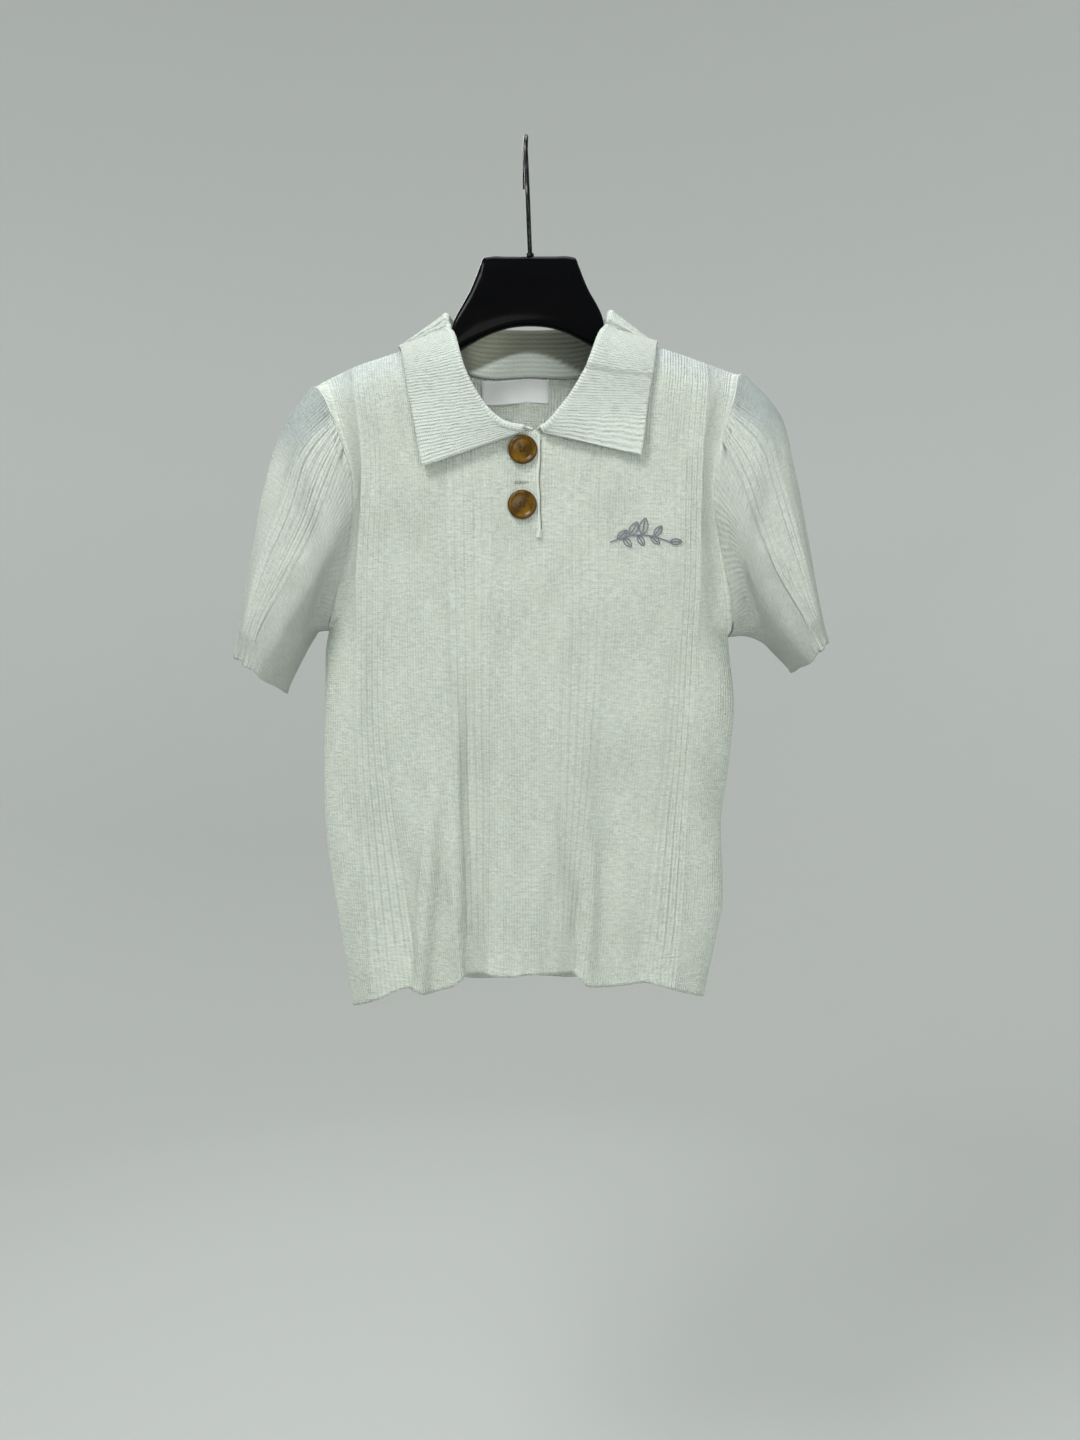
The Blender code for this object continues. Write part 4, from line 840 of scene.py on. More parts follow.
class Nodes:
    """Builds a node tree. A value may be a number, a colour or another node's output."""

    def __init__(self, tree):
        self.tree = tree

    def put(self, socket, value):
        if isinstance(value, bpy.types.NodeSocket):
            self.tree.links.new(value, socket)
        else:
            socket.default_value = value

    def add(self, kind, **inputs):
        """A new node. Keys name its settings or sockets, and i0, i1 and so on are sockets by number."""
        node = self.tree.nodes.new("ShaderNode" + kind)
        for key, value in inputs.items():
            if hasattr(node, key):
                setattr(node, key, value)
            else:
                self.put(node.inputs[int(key[1:]) if key[1:].isdigit() else key], value)
        return node

    def maths(self, operation, first, second=0.0):
        return self.add("Math", operation=operation, i0=first, i1=second).outputs[0]

    def plus(self, total, *more):
        for value in more:
            total = self.maths("ADD", total, value)
        return total

    def times(self, first, second):
        return self.maths("MULTIPLY", first, second)

    def wave(self, value, length):
        return self.maths("SINE", self.times(value, 2 * math.pi / length))

    def mixed(self, share, first, second):
        node = self.add("Mix", data_type="RGBA")
        for index, value in ((0, share), (6, first), (7, second)):
            self.put(node.inputs[index], (*value, 1) if isinstance(value, tuple) else value)
        return node.outputs[2]

    def noise(self, vector, stretch, detail=3.0, roughness=0.55):
        place = self.add("Mapping", Vector=vector, Scale=stretch).outputs[0]
        cloud = self.add("TexNoise", Vector=place, Scale=1.0, Detail=detail, Roughness=roughness)
        return cloud.outputs["Fac"]

    def spread(self, value, low, high):
        return self.add("MapRange", i0=value, i1=low, i2=high).outputs[0]

    def value_of(self, name):
        return self.add("Attribute", attribute_name=name).outputs["Fac"]

    def place(self, kind="Object"):
        return self.add("TexCoord").outputs[kind]

    def cloth_map(self):
        """The cloth's map in millimetres, whole and split into u and v."""
        uv = self.add("UVMap", uv_map="cloth_mm").outputs[0]
        parts = self.add("SeparateXYZ", Vector=uv)
        return uv, parts.outputs[0], parts.outputs[1]


class Finish(Nodes):
    """A material and its shader."""

    def __init__(self, name, colour, roughness):
        self.made = bpy.data.materials.new(name)
        self.made.use_nodes = True
        self.made.diffuse_color = (*colour, 1.0)
        super().__init__(self.made.node_tree)
        self.dress({"Base Color": (*colour, 1.0), "Roughness": roughness})

    def dress(self, looks, height=None, strength=1.0, distance=0.0002):
        """Sets or links the shader's sockets, and its bump where a height is given."""
        if height is not None:
            bump = self.add("Bump", Strength=strength, Distance=distance, Height=height)
            looks = {**looks, "Normal": bump.outputs[0]}
        for socket, value in looks.items():
            self.put(self.tree.nodes["Principled BSDF"].inputs[socket], value)
        return self.made


def shaded(colour, share):
    return tuple(min(0.97, channel * share) for channel in colour)


WALE = 2.3  # mm from one wale to the next
COURSE = 1.6  # mm from one course to the next
CLOUD_TINT = (0.92, 0.93, 0.88)


def knit_material(name, colour, groove_shade_colour, cool_shade_colour):
    """Fine knit: wales and courses, a streaky marled yarn, painted shade in the wale troughs and the grooves,
    and a painted cooler shade on request.
    """
    knit = Finish(name, colour, 0.92)
    uv, u, v = knit.cloth_map()
    wobble = knit.noise(uv, (0.12, 0.05, 1))
    wales = knit.wave(knit.plus(u, knit.times(wobble, 1.6)), WALE)
    chevron = knit.times(knit.maths("ABSOLUTE", wales), 2.4)
    courses = knit.maths("SINE", knit.plus(knit.times(v, 2 * math.pi / COURSE), chevron))
    streak = knit.noise(uv, (0.14, 0.48, 1), 3.0, 0.6)
    yarn = knit.noise(uv, (0.42, 0.95, 1), 3.0, 0.65)
    patch = knit.noise(uv, (0.03, 0.05, 1), 2.0)
    fuzz = knit.noise(uv, (2.0, 2.4, 1), 2.0)
    clear = knit.spread(knit.noise(uv, (0.05, 0.02, 1)), 0.35, 0.65)
    fine = knit.times(wales, knit.plus(0.25, knit.times(clear, 0.45)))
    shares = ((courses, 0.18), (streak, 2.6), (yarn, 2.4), (fuzz, 0.8))
    height = knit.plus(fine, *(knit.times(part, share) for part, share in shares))
    groove, cool_shade = knit.value_of("groove"), knit.value_of("cool_shade")
    marl = knit.spread(knit.plus(knit.times(streak, 0.6), knit.times(yarn, 0.6)), 0.48, 0.70)
    base, cool_shade_base = (
        knit.mixed(marl, shaded(tint, 0.82), shaded(tint, 1.10)) for tint in (colour, cool_shade_colour)
    )
    clouded = tuple(channel * tint for channel, tint in zip(colour, CLOUD_TINT))
    base = knit.mixed(knit.times(knit.spread(patch, 0.35, 0.7), 0.4), base, clouded)
    # Painted cooler, bluish shade, mixed in as far as the attribute asks.
    base = knit.mixed(knit.times(cool_shade, 0.7), base, cool_shade_base)
    # Painted shade: darker in the wale troughs, more so where the cooler shade is painted, and darker in the
    # rib grooves and gathers as far as the groove value asks.
    shadow = knit.times(knit.spread(fine, 0.1, -0.6), knit.plus(0.16, knit.times(cool_shade, 0.2)))
    base = knit.mixed(shadow, base, shaded(groove_shade_colour, 0.72))
    base = knit.mixed(knit.times(groove, 0.5), base, groove_shade_colour)
    looks = {"Base Color": base, "Sheen Weight": 0.15, "Sheen Roughness": 0.6, "Specular IOR Level": 0.15}
    return knit.dress(looks, height, 1.0, 0.0008)


def collar_material(name, colour, dark):
    """Ripple knit: wavy raised courses from the fold to the edge, painted shade in their troughs, and a
    painted shadow of the hanger inside the back stand.
    """
    knit = Finish(name, colour, 0.9)
    uv, u, v = knit.cloth_map()
    wobble = knit.noise(uv, (0.07, 0.11, 1), 2.0)
    ridges = knit.wave(knit.plus(u, knit.times(wobble, 2.6)), 2.7)
    broken = knit.noise(uv, (0.55, 0.16, 1))
    fuzz = knit.noise(uv, (1.6, 1.6, 1), 2.0)
    ridge = knit.times(knit.times(ridges, knit.spread(broken, 0.3, 0.68)), knit.value_of("leaf"))
    height = knit.plus(ridge, knit.times(knit.wave(v, 1.3), 0.18), knit.times(fuzz, 1.1))
    # Painted shade: darker in the ripple troughs and where the fuzz is low.
    base = knit.mixed(knit.times(knit.spread(ridge, 0.2, -0.9), 0.6), colour, dark)
    base = knit.mixed(knit.times(knit.spread(fuzz, 0.6, 0.3), 0.35), base, dark)
    # Painted shadow of the hanger, olive, on the inside of the back stand.
    base = knit.mixed(knit.times(knit.value_of("shade"), 0.85), base, (0.12, 0.125, 0.075))
    looks = {"Base Color": base, "Sheen Weight": 0.15, "Specular IOR Level": 0.15}
    return knit.dress(looks, height, 0.9, 0.0008)


def horn_material():
    """Clouded amber, darker to the edge, under a polish."""
    horn = Finish("horn_polished", (0.3, 0.12, 0.01), 0.22)
    place = horn.place()
    cloud = horn.noise(place, (150, 90, 95), 3.0, 0.5)
    streak = horn.noise(place, (420, 60, 180), 2.0, 0.5)
    amber = horn.mixed(horn.spread(cloud, 0.38, 0.66), (0.065, 0.032, 0.002), (0.20, 0.102, 0.004))
    amber = horn.mixed(horn.times(horn.spread(streak, 0.5, 0.75), 0.35), amber, (0.03, 0.012, 0.003))
    amber = horn.mixed(horn.times(horn.value_of("edge"), 0.75), amber, (0.035, 0.013, 0.003))
    return horn.dress(
        {"Base Color": amber, "Specular IOR Level": 0.15, "Coat Weight": 0.12, "Coat Roughness": 0.12}
    )


def label_material():
    """Satin woven white tape with a turned edge."""
    tape = Finish("label_satin", (0.62, 0.64, 0.64), 0.5)
    uv, u, v = tape.cloth_map()
    half = LABEL_SIZE[0] * MM / 2
    side = tape.maths("ABSOLUTE", tape.maths("SUBTRACT", u, half))
    fold = tape.spread(side, half - 2.6, half - 2.2)
    grain = tape.noise(uv, (1.1, 0.5, 1))
    tone = tape.mixed(tape.times(fold, 0.4), (0.86, 0.88, 0.87), (0.58, 0.60, 0.60))
    tone = tape.mixed(tape.times(grain, 0.2), tone, (0.7, 0.72, 0.72))
    weft, warp = tape.times(tape.wave(v, 0.7), 0.4), tape.times(tape.wave(u, 0.5), 0.3)
    height = tape.plus(weft, warp, tape.times(fold, 2.0))
    return tape.dress({"Base Color": tone, "Sheen Weight": 0.3}, height, 0.5)


def moulding_material():
    """Black gloss plastic with faint flow marks and fine scuffs."""
    plastic = Finish("moulding_gloss", (0.004, 0.004, 0.005), 0.3)
    place = plastic.place()
    flow = plastic.noise(place, (14, 30, 50), 2.0)
    scuff = plastic.noise(place, (300, 300, 90), 4.0)
    gloss = plastic.plus(0.16, plastic.times(plastic.spread(scuff, 0.5, 0.8), 0.10))
    base = plastic.mixed(flow, (0.0015, 0.0015, 0.002), (0.003, 0.003, 0.0035))
    looks = {"Base Color": base, "Roughness": gloss, "Specular IOR Level": 0.05}
    return plastic.dress(looks, flow, 0.03, 0.0004)


def wire_material():
    """Dark plated wire, rubbed brighter in places."""
    steel = Finish("wire_dark", (0.02, 0.02, 0.02), 0.3)
    rub = steel.noise(steel.place(), (500, 500, 120))
    base = steel.mixed(steel.spread(rub, 0.45, 0.8), (0.018, 0.018, 0.020), (0.13, 0.13, 0.13))
    gloss = steel.plus(0.22, steel.times(rub, 0.2))
    return steel.dress({"Base Color": base, "Roughness": gloss, "Metallic": 1.0})


def thread_material(name, colour):
    """Twisted thread."""
    yarn = Finish(name, colour, 0.7)
    twist = yarn.add("TexWave", Vector=yarn.place(), Scale=900.0, Distortion=2.0).outputs["Fac"]
    base = yarn.mixed(yarn.times(twist, 0.6), colour, shaded(colour, 0.5))
    return yarn.dress({"Base Color": base}, twist, 0.5)


# ---------------------------------------------------------------- cloth pieces

# Creases beyond the folds of the cloth itself, in the same columns
CREASES_FRONT = (
    (-0.0760, -0.4900, -0.0925, -0.7300, 0.0060, 0.0046, 0),
    (-0.1040, -0.5600, -0.1010, -0.7300, 0.0100, -0.0034, 0),
    (-0.0600, -0.4300, -0.0590, -0.7300, 0.0050, 0.0022, 0),
    (-0.0200, -0.4400, -0.0180, -0.7300, 0.0260, -0.0040, 0),
    (0.0460, -0.5200, 0.0480, -0.7300, 0.0090, 0.0046, 0),
    (0.0250, -0.5600, 0.0270, -0.7300, 0.0080, -0.0032, 0),
    (0.0980, -0.6400, 0.0960, -0.7300, 0.0090, -0.0030, 0),
    (0.1300, -0.4700, 0.1500, -0.5800, 0.0050, 0.0030, 1),
    (0.0150, -0.2950, 0.0420, -0.3300, 0.0035, -0.0010, 1),
    (0.0180, -0.3250, 0.0080, -0.3650, 0.0040, -0.0012, 1),
    (-0.1560, -0.4300, -0.1460, -0.5100, 0.0060, 0.0022, 1),
    (-0.1620, -0.5600, -0.1500, -0.6300, 0.0060, 0.0020, 1),
    (0.1480, -0.4200, 0.1400, -0.5000, 0.0060, 0.0020, 1),
    (-0.1300, -0.3500, -0.1050, -0.4300, 0.0080, -0.0010, 1),
    (0.1250, -0.3600, 0.1000, -0.4500, 0.0080, -0.0010, 1),
)
CREASES_BACK = (
    (-0.0960, -0.5200, -0.1040, -0.7300, 0.0050, 0.0028, 0),
    (0.0430, -0.5400, 0.0460, -0.7300, 0.0050, 0.0028, 0),
    (0.0100, -0.5000, 0.0080, -0.7300, 0.0200, -0.0020, 0),
    (-0.1500, -0.4300, -0.1380, -0.5200, 0.0070, 0.0016, 1),
    (0.1480, -0.4200, 0.1360, -0.5100, 0.0070, 0.0016, 1),
)


def soften_underarm(face, points):
    """Evens out the body's depth over the height of the underarm, away from the side seams."""
    x, y, z = points[..., 0], points[..., 1], points[..., 2]
    steps = np.linspace(-0.030, 0.030, 13)
    weights = bell(steps, 0, 0.016)
    total = sum(weight * body_depth(face, x, z + step) for step, weight in zip(steps, weights))
    side = np.minimum(x - x[:, :1], x[:, -1:] - x)
    under = EDGE_HEIGHTS["right"][1]
    share = ease(0.0, 0.022, side) * ease(under - 0.10, under - 0.05, z)
    share = share * (1 - ease(under + 0.06, under + 0.12, z))
    soft = points.copy()
    soft[..., 1] = y + (face * total / sum(weights) - y) * share
    return soft


def panel_relief(face, x, z):
    """Height of the small creases and unevenness over the plain panel."""
    return ripple(x, z, 3 + face) + fold_height(CREASES_FRONT if face < 0 else CREASES_BACK, x, z)


def fine_panel(face):
    """Points, map and values of one dressed panel."""
    rows, cells = fine_rows(), fine_cells()
    points = soften_underarm(face, panel_points(face, rows, cells))
    normals = panel_normals(face, points, rows)
    top, groove = column_ribs(cells, (1, 3, 7, 9))
    ribbed = ease(0.050, 0.066, rows) * (0.7 + 0.3 * ease(0.92, 0.72, rows))
    x, z = points[..., 0], points[..., 2]
    middle = np.clip(np.abs(points[..., 1]) / 0.028, 0, 1) ** 2
    hem_roll = 0.0008 * bell(rows, 0, 0.009)[:, None]
    hem_wave = 0.0007 * np.sin(x * 310 + 1.5 * np.sin(x * 95)) * bell(rows, 0, 0.02)[:, None]
    relief = ribbed[:, None] * (RIB_RISE * (top - 1) - RIB_CUT * groove)
    relief = relief + (panel_relief(face, x, z) + hem_roll + hem_wave) * middle
    uv = np.stack(np.broadcast_arrays(panel_columns(0.45, cells) * MM, z * MM), axis=-1)
    # The tops of the shoulders get a painted cooler, bluish shade.
    crown = table(CROWN, 1, x) - z
    reach = ease(0.060, 0.085, np.abs(x)) * (1 - ease(0.150, 0.180, np.abs(x)))
    # The painted shade in the rib grooves is weaker above the underarm.
    fade = 0.55 + 0.45 * ease(0.60, 0.45, rows)
    cool_shade = reach * (1 - ease(0.004, 0.042, crown)) * 0.9
    values = {"groove": (ribbed * fade)[:, None] * groove, "cool_shade": cool_shade}
    return points + normals * relief[..., None], uv, values


def make_panel(node, made_of):
    face = -1 if node == "front" else 1
    points, uv, values = fine_panel(face)
    if face > 0:
        points, uv = points[:, ::-1], uv[:, ::-1]
        values = {key: grid[:, ::-1] for key, grid in values.items()}
    piece = surface_object(node + "_knit", points, uv, made_of, CLOTH, values=values)
    declare(piece, node)


def fine_around():
    """Places round the sleeve, with the rib height and the groove share at each."""
    places = []
    for index, count in enumerate(FINE_SLEEVE):
        start, end = GUIDE_AROUND[index : index + 2]
        places.extend(start + (end - start) * np.arange(count) / count)
    places = np.array(places + [0.5])
    top, groove = column_ribs(FINE_SLEEVE, (1,))
    return [
        np.concatenate([half, other[-2:0:-1]])
        for half, other in ((places, 1 - places), (top, top), (groove, groove))
    ]


GATHERS = 96  # small gathers in a sleeve's head, all round


def make_sleeve(side, made_of):
    around, top, groove = fine_around()
    shares = np.linspace(0, 1, FINE_SLEEVE_ROWS + 1) ** 1.08
    points = sleeve_points(side, shares, around)
    normals = grid_normals(points, flip=side == "right", wrapped=True)
    ribbed = ease(0.004, 0.03, shares) * (1 - ease(SLEEVE_RIB_END - 0.02, SLEEVE_RIB_END + 0.01, shares))
    half = np.where(around <= 0.5, around, 1 - around)
    down, ribbed = shares[:, None], ribbed[:, None]
    gather_wave = np.sin(around * 2 * math.pi * GATHERS)
    gather = bell(down, 0.018, 0.016) * ease(0.02, 0.06, half) * (1 - ease(0.26, 0.33, half))
    dent = bell(half, 0.21, 0.085) * bell(down, 0.32 + 0.55 * (half - 0.20), 0.075)
    uneven = ripple(points[..., 0] + points[..., 1], points[..., 2], 11 if side == "right" else 12)
    relief = ribbed * (SLEEVE_RISE * (top - 1) - SLEEVE_CUT * groove)
    relief = relief + uneven * ease(0.03, 0.12, down) - 0.0012 * dent
    relief = relief + 0.0008 * bell(half, 0.17, 0.09) * bell(down, 0.13, 0.07)
    relief = relief - 0.0030 * bell(half, 0.44, 0.05) * bell(down, 0.28, 0.16)
    relief = relief + 0.00055 * gather * gather_wave + 0.0007 * bell(down, 1, 0.015)
    cuff_wave = np.sin(around * 2 * math.pi * 23 + 2 * np.sin(around * 19))
    relief = relief + 0.0005 * bell(down, 1, 0.05) * cuff_wave
    uv = np.stack(np.broadcast_arrays(around * 330, down * 245), axis=-1)
    # Painted cooler shade over the sleeve's head, and painted shade in the dent below the hanger's end.
    cool_shade = (1 - ease(0.10, 0.19, half)) * (1 - ease(0.14, 0.34, down)) + 0.42 * dent
    # Painted shade in the rib grooves and in the troughs of the gathers; tint is how much of it.
    tint = 1.15 * ribbed * groove + 0.35 * gather * (gather_wave < 0)
    values = {"groove": np.clip(tint, 0, 1), "cool_shade": np.clip(cool_shade, 0, 1)}
    points = points + normals * relief[..., None]
    node = "sleeve_" + side
    outward = -1.0 if side == "right" else 1.0
    piece = surface_object(node + "_knit", points, uv, made_of, CLOTH, outward, wrapped=True, values=values)
    declare(piece, node)


def run_lengths(points):
    """Length along a run of points, from its start to each of them."""
    return np.concatenate([[0], np.cumsum(np.linalg.norm(np.diff(points, axis=0), axis=1))])


def make_collar(made_of):
    stations, stand, fold, leaf = FINE_COLLAR
    points = collar_surface(np.linspace(0, 1, stations + 1), stand, fold, leaf)
    along = run_lengths(points[:, stand + fold // 2]) * MM
    down = run_lengths(points[stations // 6]) * MM
    uv = np.stack(np.broadcast_arrays(along[:, None], down), axis=-1)
    on_leaf = ease(stand, stand + fold, np.arange(stand + fold + leaf + 1))
    away = np.abs(points[..., 0] + 0.003)
    # Painted shadow of the hanger on the inside of the back stand, above an arch.
    height = points[..., 2] - points[:, :1, 2]
    above_arch = ease(-0.001, 0.003, height - 0.021 * (1 - (away / 0.05) ** 2))
    under_hanger = above_arch * (1 - ease(0.055, 0.07, away))
    shade = under_hanger * (1 - on_leaf) * (points[..., 1] > 0.0)
    values = {"leaf": np.broadcast_to(on_leaf, shade.shape), "shade": shade}
    piece = surface_object("collar_knit_piece", points, uv, made_of, COLLAR_CLOTH, 0.0, values=values)
    declare(piece, "collar")


def band_wander(q):
    """How a knitted edge strays from its straight line, up the band."""
    return math.sin(7.5 * q + 0.6), math.sin(19 * q)


def make_band(name, right, left, foot_z, made_of, node, thick, lift, lip):
    """One placket band over the front. Its left edge is free and stands up by the lip; the rest lies flat."""
    across = np.linspace(0, 1, FINE_BAND[0])
    rows = []
    for q in np.linspace(0, 1, FINE_BAND[1]):
        slow, quick = band_wander(q)
        x = right + (left + (0.0007 * slow + 0.0004 * quick if lip else 0.0) - right) * across
        z = foot_z + (neckline(-1, x) - foot_z) * q
        point, normal = panel_surface(-1, x, z)
        rise = lift + lip * ease(0.35, 0.93, across) * ease(0.0, 0.10, q) + panel_relief(-1, x, z)
        if lip:
            turned = 1 - ease(0.0, 0.30, across) + ease(0.93, 1.0, across)
            rise = rise - 0.0007 * turned - 0.0006 * (1 - ease(0.0, 0.10, q))
        rows.append(point + normal * rise[:, None])
    points = np.array(rows)
    piece = surface_object(name, points, points[..., [0, 2]] * MM, made_of, thick)
    declare(piece, node)


def make_label(made_of):
    width, height = LABEL_SIZE
    across = np.linspace(LABEL_X - width / 2, LABEL_X + width / 2, FINE_LABEL[0])
    up = np.linspace(0, 1, FINE_LABEL[1])
    rows = []
    for q in up:
        point, normal = panel_surface(1, across, neckline(1, across) - LABEL_DROP - height * (1 - q))
        bow = 0.0003 * np.sin(across * 260 + 2 * q)
        rows.append(point - normal * (CLOTH + SEAM_GAP + 0.0004 + bow)[:, None])
    points = np.array(rows)
    uv = np.stack(np.broadcast_arrays((across - across[0]) * MM, (up * height * MM)[:, None]), axis=-1)
    piece = surface_object("label_tape", points, uv, made_of, 0.0006)
    declare(piece, "neck_label")


# ---------------------------------------------------------------- buttons, stitching, embroidery


def tube(name, runs, radius, made_of, slot, closed=False, resolution=2, shift=HANG_X, stands_for=()):
    """Round threads or wire along runs of points."""
    curve = bpy.data.curves.new(name, "CURVE")
    curve.dimensions = "3D"
    for run in runs:
        spline = curve.splines.new("POLY")
        spline.points.add(len(run) - 1)
        for point, place in zip(spline.points, run):
            point.co = (place[0] + shift, place[1], place[2], 1.0)
        spline.use_cyclic_u = closed
    curve.bevel_depth = radius
    curve.bevel_resolution = resolution
    curve.use_fill_caps = not closed
    curve.materials.append(made_of)
    ride(linked(name, curve), stands_for)


def on_front(x, z, lift):
    """A point over the front's surface and the surface's normal there."""
    x, z = np.array(x, float), np.array(z, float)
    point, normal = panel_surface(-1, x, z)
    return point + normal * (lift + float(panel_relief(-1, x, z))), normal


def run_on_front(places):
    """A thread's run over the front, through rows of x, z and lift."""
    return [tuple(on_front(*place)[0]) for place in places]


# Half section of a button, from the middle of its back round the rim to the middle of its face:
# share of its radius, share of its thickness
FINE_BUTTON = (
    (0.00, 0.00), (0.70, 0.00), (0.90, 0.10), (0.975, 0.32), (1.00, 0.52), (0.985, 0.72), (0.945, 0.88),
    (0.89, 0.97), (0.84, 1.00), (0.79, 0.97), (0.745, 0.88), (0.70, 0.78), (0.62, 0.72), (0.45, 0.67),
    (0.25, 0.64), (0.00, 0.63),
)
BUTTON_SIDES = 72
HOLE_OFF = 0.00145  # of each hole from the middle, across and up
HOLE_RADIUS = 0.0005
HOLE_SIDES = 12


def make_button(name, x, z, made_of, hole_material, thread):
    seat, normal = on_front(x, z, BAND_PROUD + SEAM_GAP + 0.0003)
    side = unit(np.cross(normal, (0.0, 0.0, 1.0)))
    up = np.cross(side, normal)

    def spokes(count):
        angles = 2 * math.pi * np.arange(count) / count
        return side * np.cos(angles)[:, None] + up * np.sin(angles)[:, None]

    turned = FINE_BUTTON[1:-1]
    points = [seat + spokes(BUTTON_SIDES) * BUTTON_RADIUS * r + normal * BUTTON_THICK * h for r, h in turned]
    tips = [seat + normal * BUTTON_THICK * row[1] for row in (FINE_BUTTON[0], FINE_BUTTON[-1])]
    edge = [float(ease(0.80, 1.0, r)) * 0.7 for r, _ in turned for _ in range(BUTTON_SIDES)] + [0.0, 0.0]
    faces = ring_faces(len(turned), BUTTON_SIDES)
    last, tip = (len(turned) - 1) * BUTTON_SIDES, len(turned) * BUTTON_SIDES
    pairs = [(k, (k + 1) % BUTTON_SIDES) for k in range(BUTTON_SIDES)]
    faces += [(tip, b, a) for a, b in pairs] + [(tip + 1, last + a, last + b) for a, b in pairs]
    mesh = mesh_of(name, np.concatenate([*points, tips]) + SHIFT, faces, made_of)
    set_values(mesh, {"edge": edge})
    ride(linked(name + "_turned", mesh), [name])
    face = seat + normal * BUTTON_THICK * 0.655
    places = ((-1, -1), (1, -1), (1, 1), (-1, 1))
    corners = [face + (side * right + up * high) * HOLE_OFF for right, high in places]
    # Dark rings mark the four holes; their darkness is painted shade of the holes.
    rings = [corner + spokes(HOLE_SIDES) * HOLE_RADIUS for corner in corners]
    tube(name + "_holes", rings, 0.00042, hole_material, "amber_horn", closed=True)
    strands = []
    for start, end in (corners[::2], corners[1::2]):
        q = np.linspace(0, 1, 9)[:, None]
        strands.append(start + (end - start) * q + normal * 0.0007 * np.sin(math.pi * q))
    tube(name + "_thread", strands, 0.00035, thread, "amber_horn")


SPRIG_CENTRE = (0.0905, -0.3430)
SPRIG_LENGTH = 0.050
SPRIG_BOW = 0.006
# Leaves: place along the stem, turn in radians, length
SPRIG_LEAVES = (
    (0.12, 0.75, 0.011), (0.32, 1.05, 0.013), (0.52, 1.35, 0.014), (0.72, 0.95, 0.011),
    (0.22, -0.85, 0.010), (0.45, -1.0, 0.010), (0.66, -0.7, 0.010), (0.98, 0.05, 0.010),
)
LEAF_SLIM = 0.24  # half width of a leaf as a share of its length


def stem_point(q):
    x = SPRIG_CENTRE[0] + SPRIG_LENGTH * (q - 0.5)
    return x, SPRIG_CENTRE[1] - 0.004 + SPRIG_BOW * math.sin(math.pi * q)


def leaf_runs(place, turn, length):
    """Both edges and the midrib of one leaf."""
    base_x, base_z = stem_point(place)
    runs = []
    for sign, shares in ((1, np.linspace(0, 1, 12)), (-1, np.linspace(0, 1, 12)), (0, (0.1, 0.45, 0.85))):
        run = []
        for q in shares:
            off = sign * length * LEAF_SLIM * max(0.0, math.sin(math.pi * q)) ** 0.8
            x = base_x + length * q * math.cos(turn) - off * math.sin(turn)
            run.append((x, base_z + length * q * math.sin(turn) + off * math.cos(turn)))
        runs.append(run)
    return runs


def make_sprig(thread):
    """A small outline of leaves on a stem, in raised grey thread."""
    runs = [[stem_point(q) for q in np.linspace(0, 1, 16)]]
    for row in SPRIG_LEAVES:
        runs += leaf_runs(*row)
    lift = RIB_RISE + 0.0003
    solid = [run_on_front([(x, z, lift) for x, z in run]) for run in runs]
    tube("sprig_embroidery", solid, 0.00048, thread, "ivory_knit")


def seam_frame(side, face, share):
    """Points of the armhole seam, the way out of the cloth and the way over the seam."""
    point = armhole_point(side, face, share)
    along = unit(np.gradient(point, axis=0))
    sign = -1 if side == "right" else 1
    _, normal = panel_surface(face, point[:, 0] - sign * 0.004, point[:, 2])
    return point, normal, unit(np.cross(along, normal))


SEAM_STITCHES = 174
BUTTONHOLE = (-0.0118, -0.2985)  # x and z of its right end
TACK_FOOT = NOTCH_Z + 0.0004


def make_stitching(thread, shadow_thread):
    """Linking stitches over both armhole seams, the buttonhole and the placket's bar tack; also the placket's
    lip, and beside it a dark cord that paints the shadow of its slit.
    """
    stitches, cords = [], []
    share = np.linspace(0.02, 0.86, SEAM_STITCHES)
    turn = np.where(np.arange(SEAM_STITCHES) % 2 == 0, 1.0, -1.0)[:, None]
    for side in ("right", "left"):
        for face in (-1, 1):
            point, normal, over = seam_frame(side, face, share)
            cords.append(point + normal * 0.0001)
            stitches.append(point + over * turn * 0.0010 + normal * 0.0006)
    edge = BAND_RIGHT - 0.0002
    lips = []
    for q in np.linspace(0, 1, 40):
        slow, quick = band_wander(q)
        z = NOTCH_Z + 0.0006 + (neckline(-1, edge) - 0.004 - NOTCH_Z) * q
        lips.append((edge + 0.0006 * slow + 0.0003 * quick, z))
    lip = run_on_front([(x, z, 0.0014) for x, z in lips])
    # A dark cord just beside the lip: a painted shadow line of the slit.
    slit = run_on_front([(x + 0.0014, z, 0.0003) for x, z in lips[3:-2]])
    holes, tacks = [], []
    for k in range(8):
        x, z = BUTTONHOLE[0] + 0.0016 * k, BUTTONHOLE[1]
        holes.append(run_on_front([(x, z - 0.0011, 0.0006), (x, z, 0.0012), (x, z + 0.0011, 0.0006)]))
    for k in range(6):
        x, z = BAND_RIGHT, TACK_FOOT + 0.0006 * k
        tacks.append(run_on_front([(x - 0.0022, z, 0.0010), (x, z, 0.0020), (x + 0.0020, z, 0.0008)]))
    for name, runs, radius, made_of in (
        ("placket_lip", [lip], 0.0012, thread),
        ("placket_slit_shadow", [slit], 0.0005, shadow_thread),
        ("armhole_cords", cords, 0.0008, thread),
        ("armhole_stitches", stitches, 0.00032, thread),
        ("buttonhole_stitch", holes, 0.0004, shadow_thread),
        ("placket_tack", tacks, 0.0006, thread),
    ):
        tube(name, runs, radius, made_of, "ivory_knit")


# ---------------------------------------------------------------- hanger and hook

HANGER_RINGS = 260
HANGER_RING_SIDES = 48
HOOK_POINTS = 150


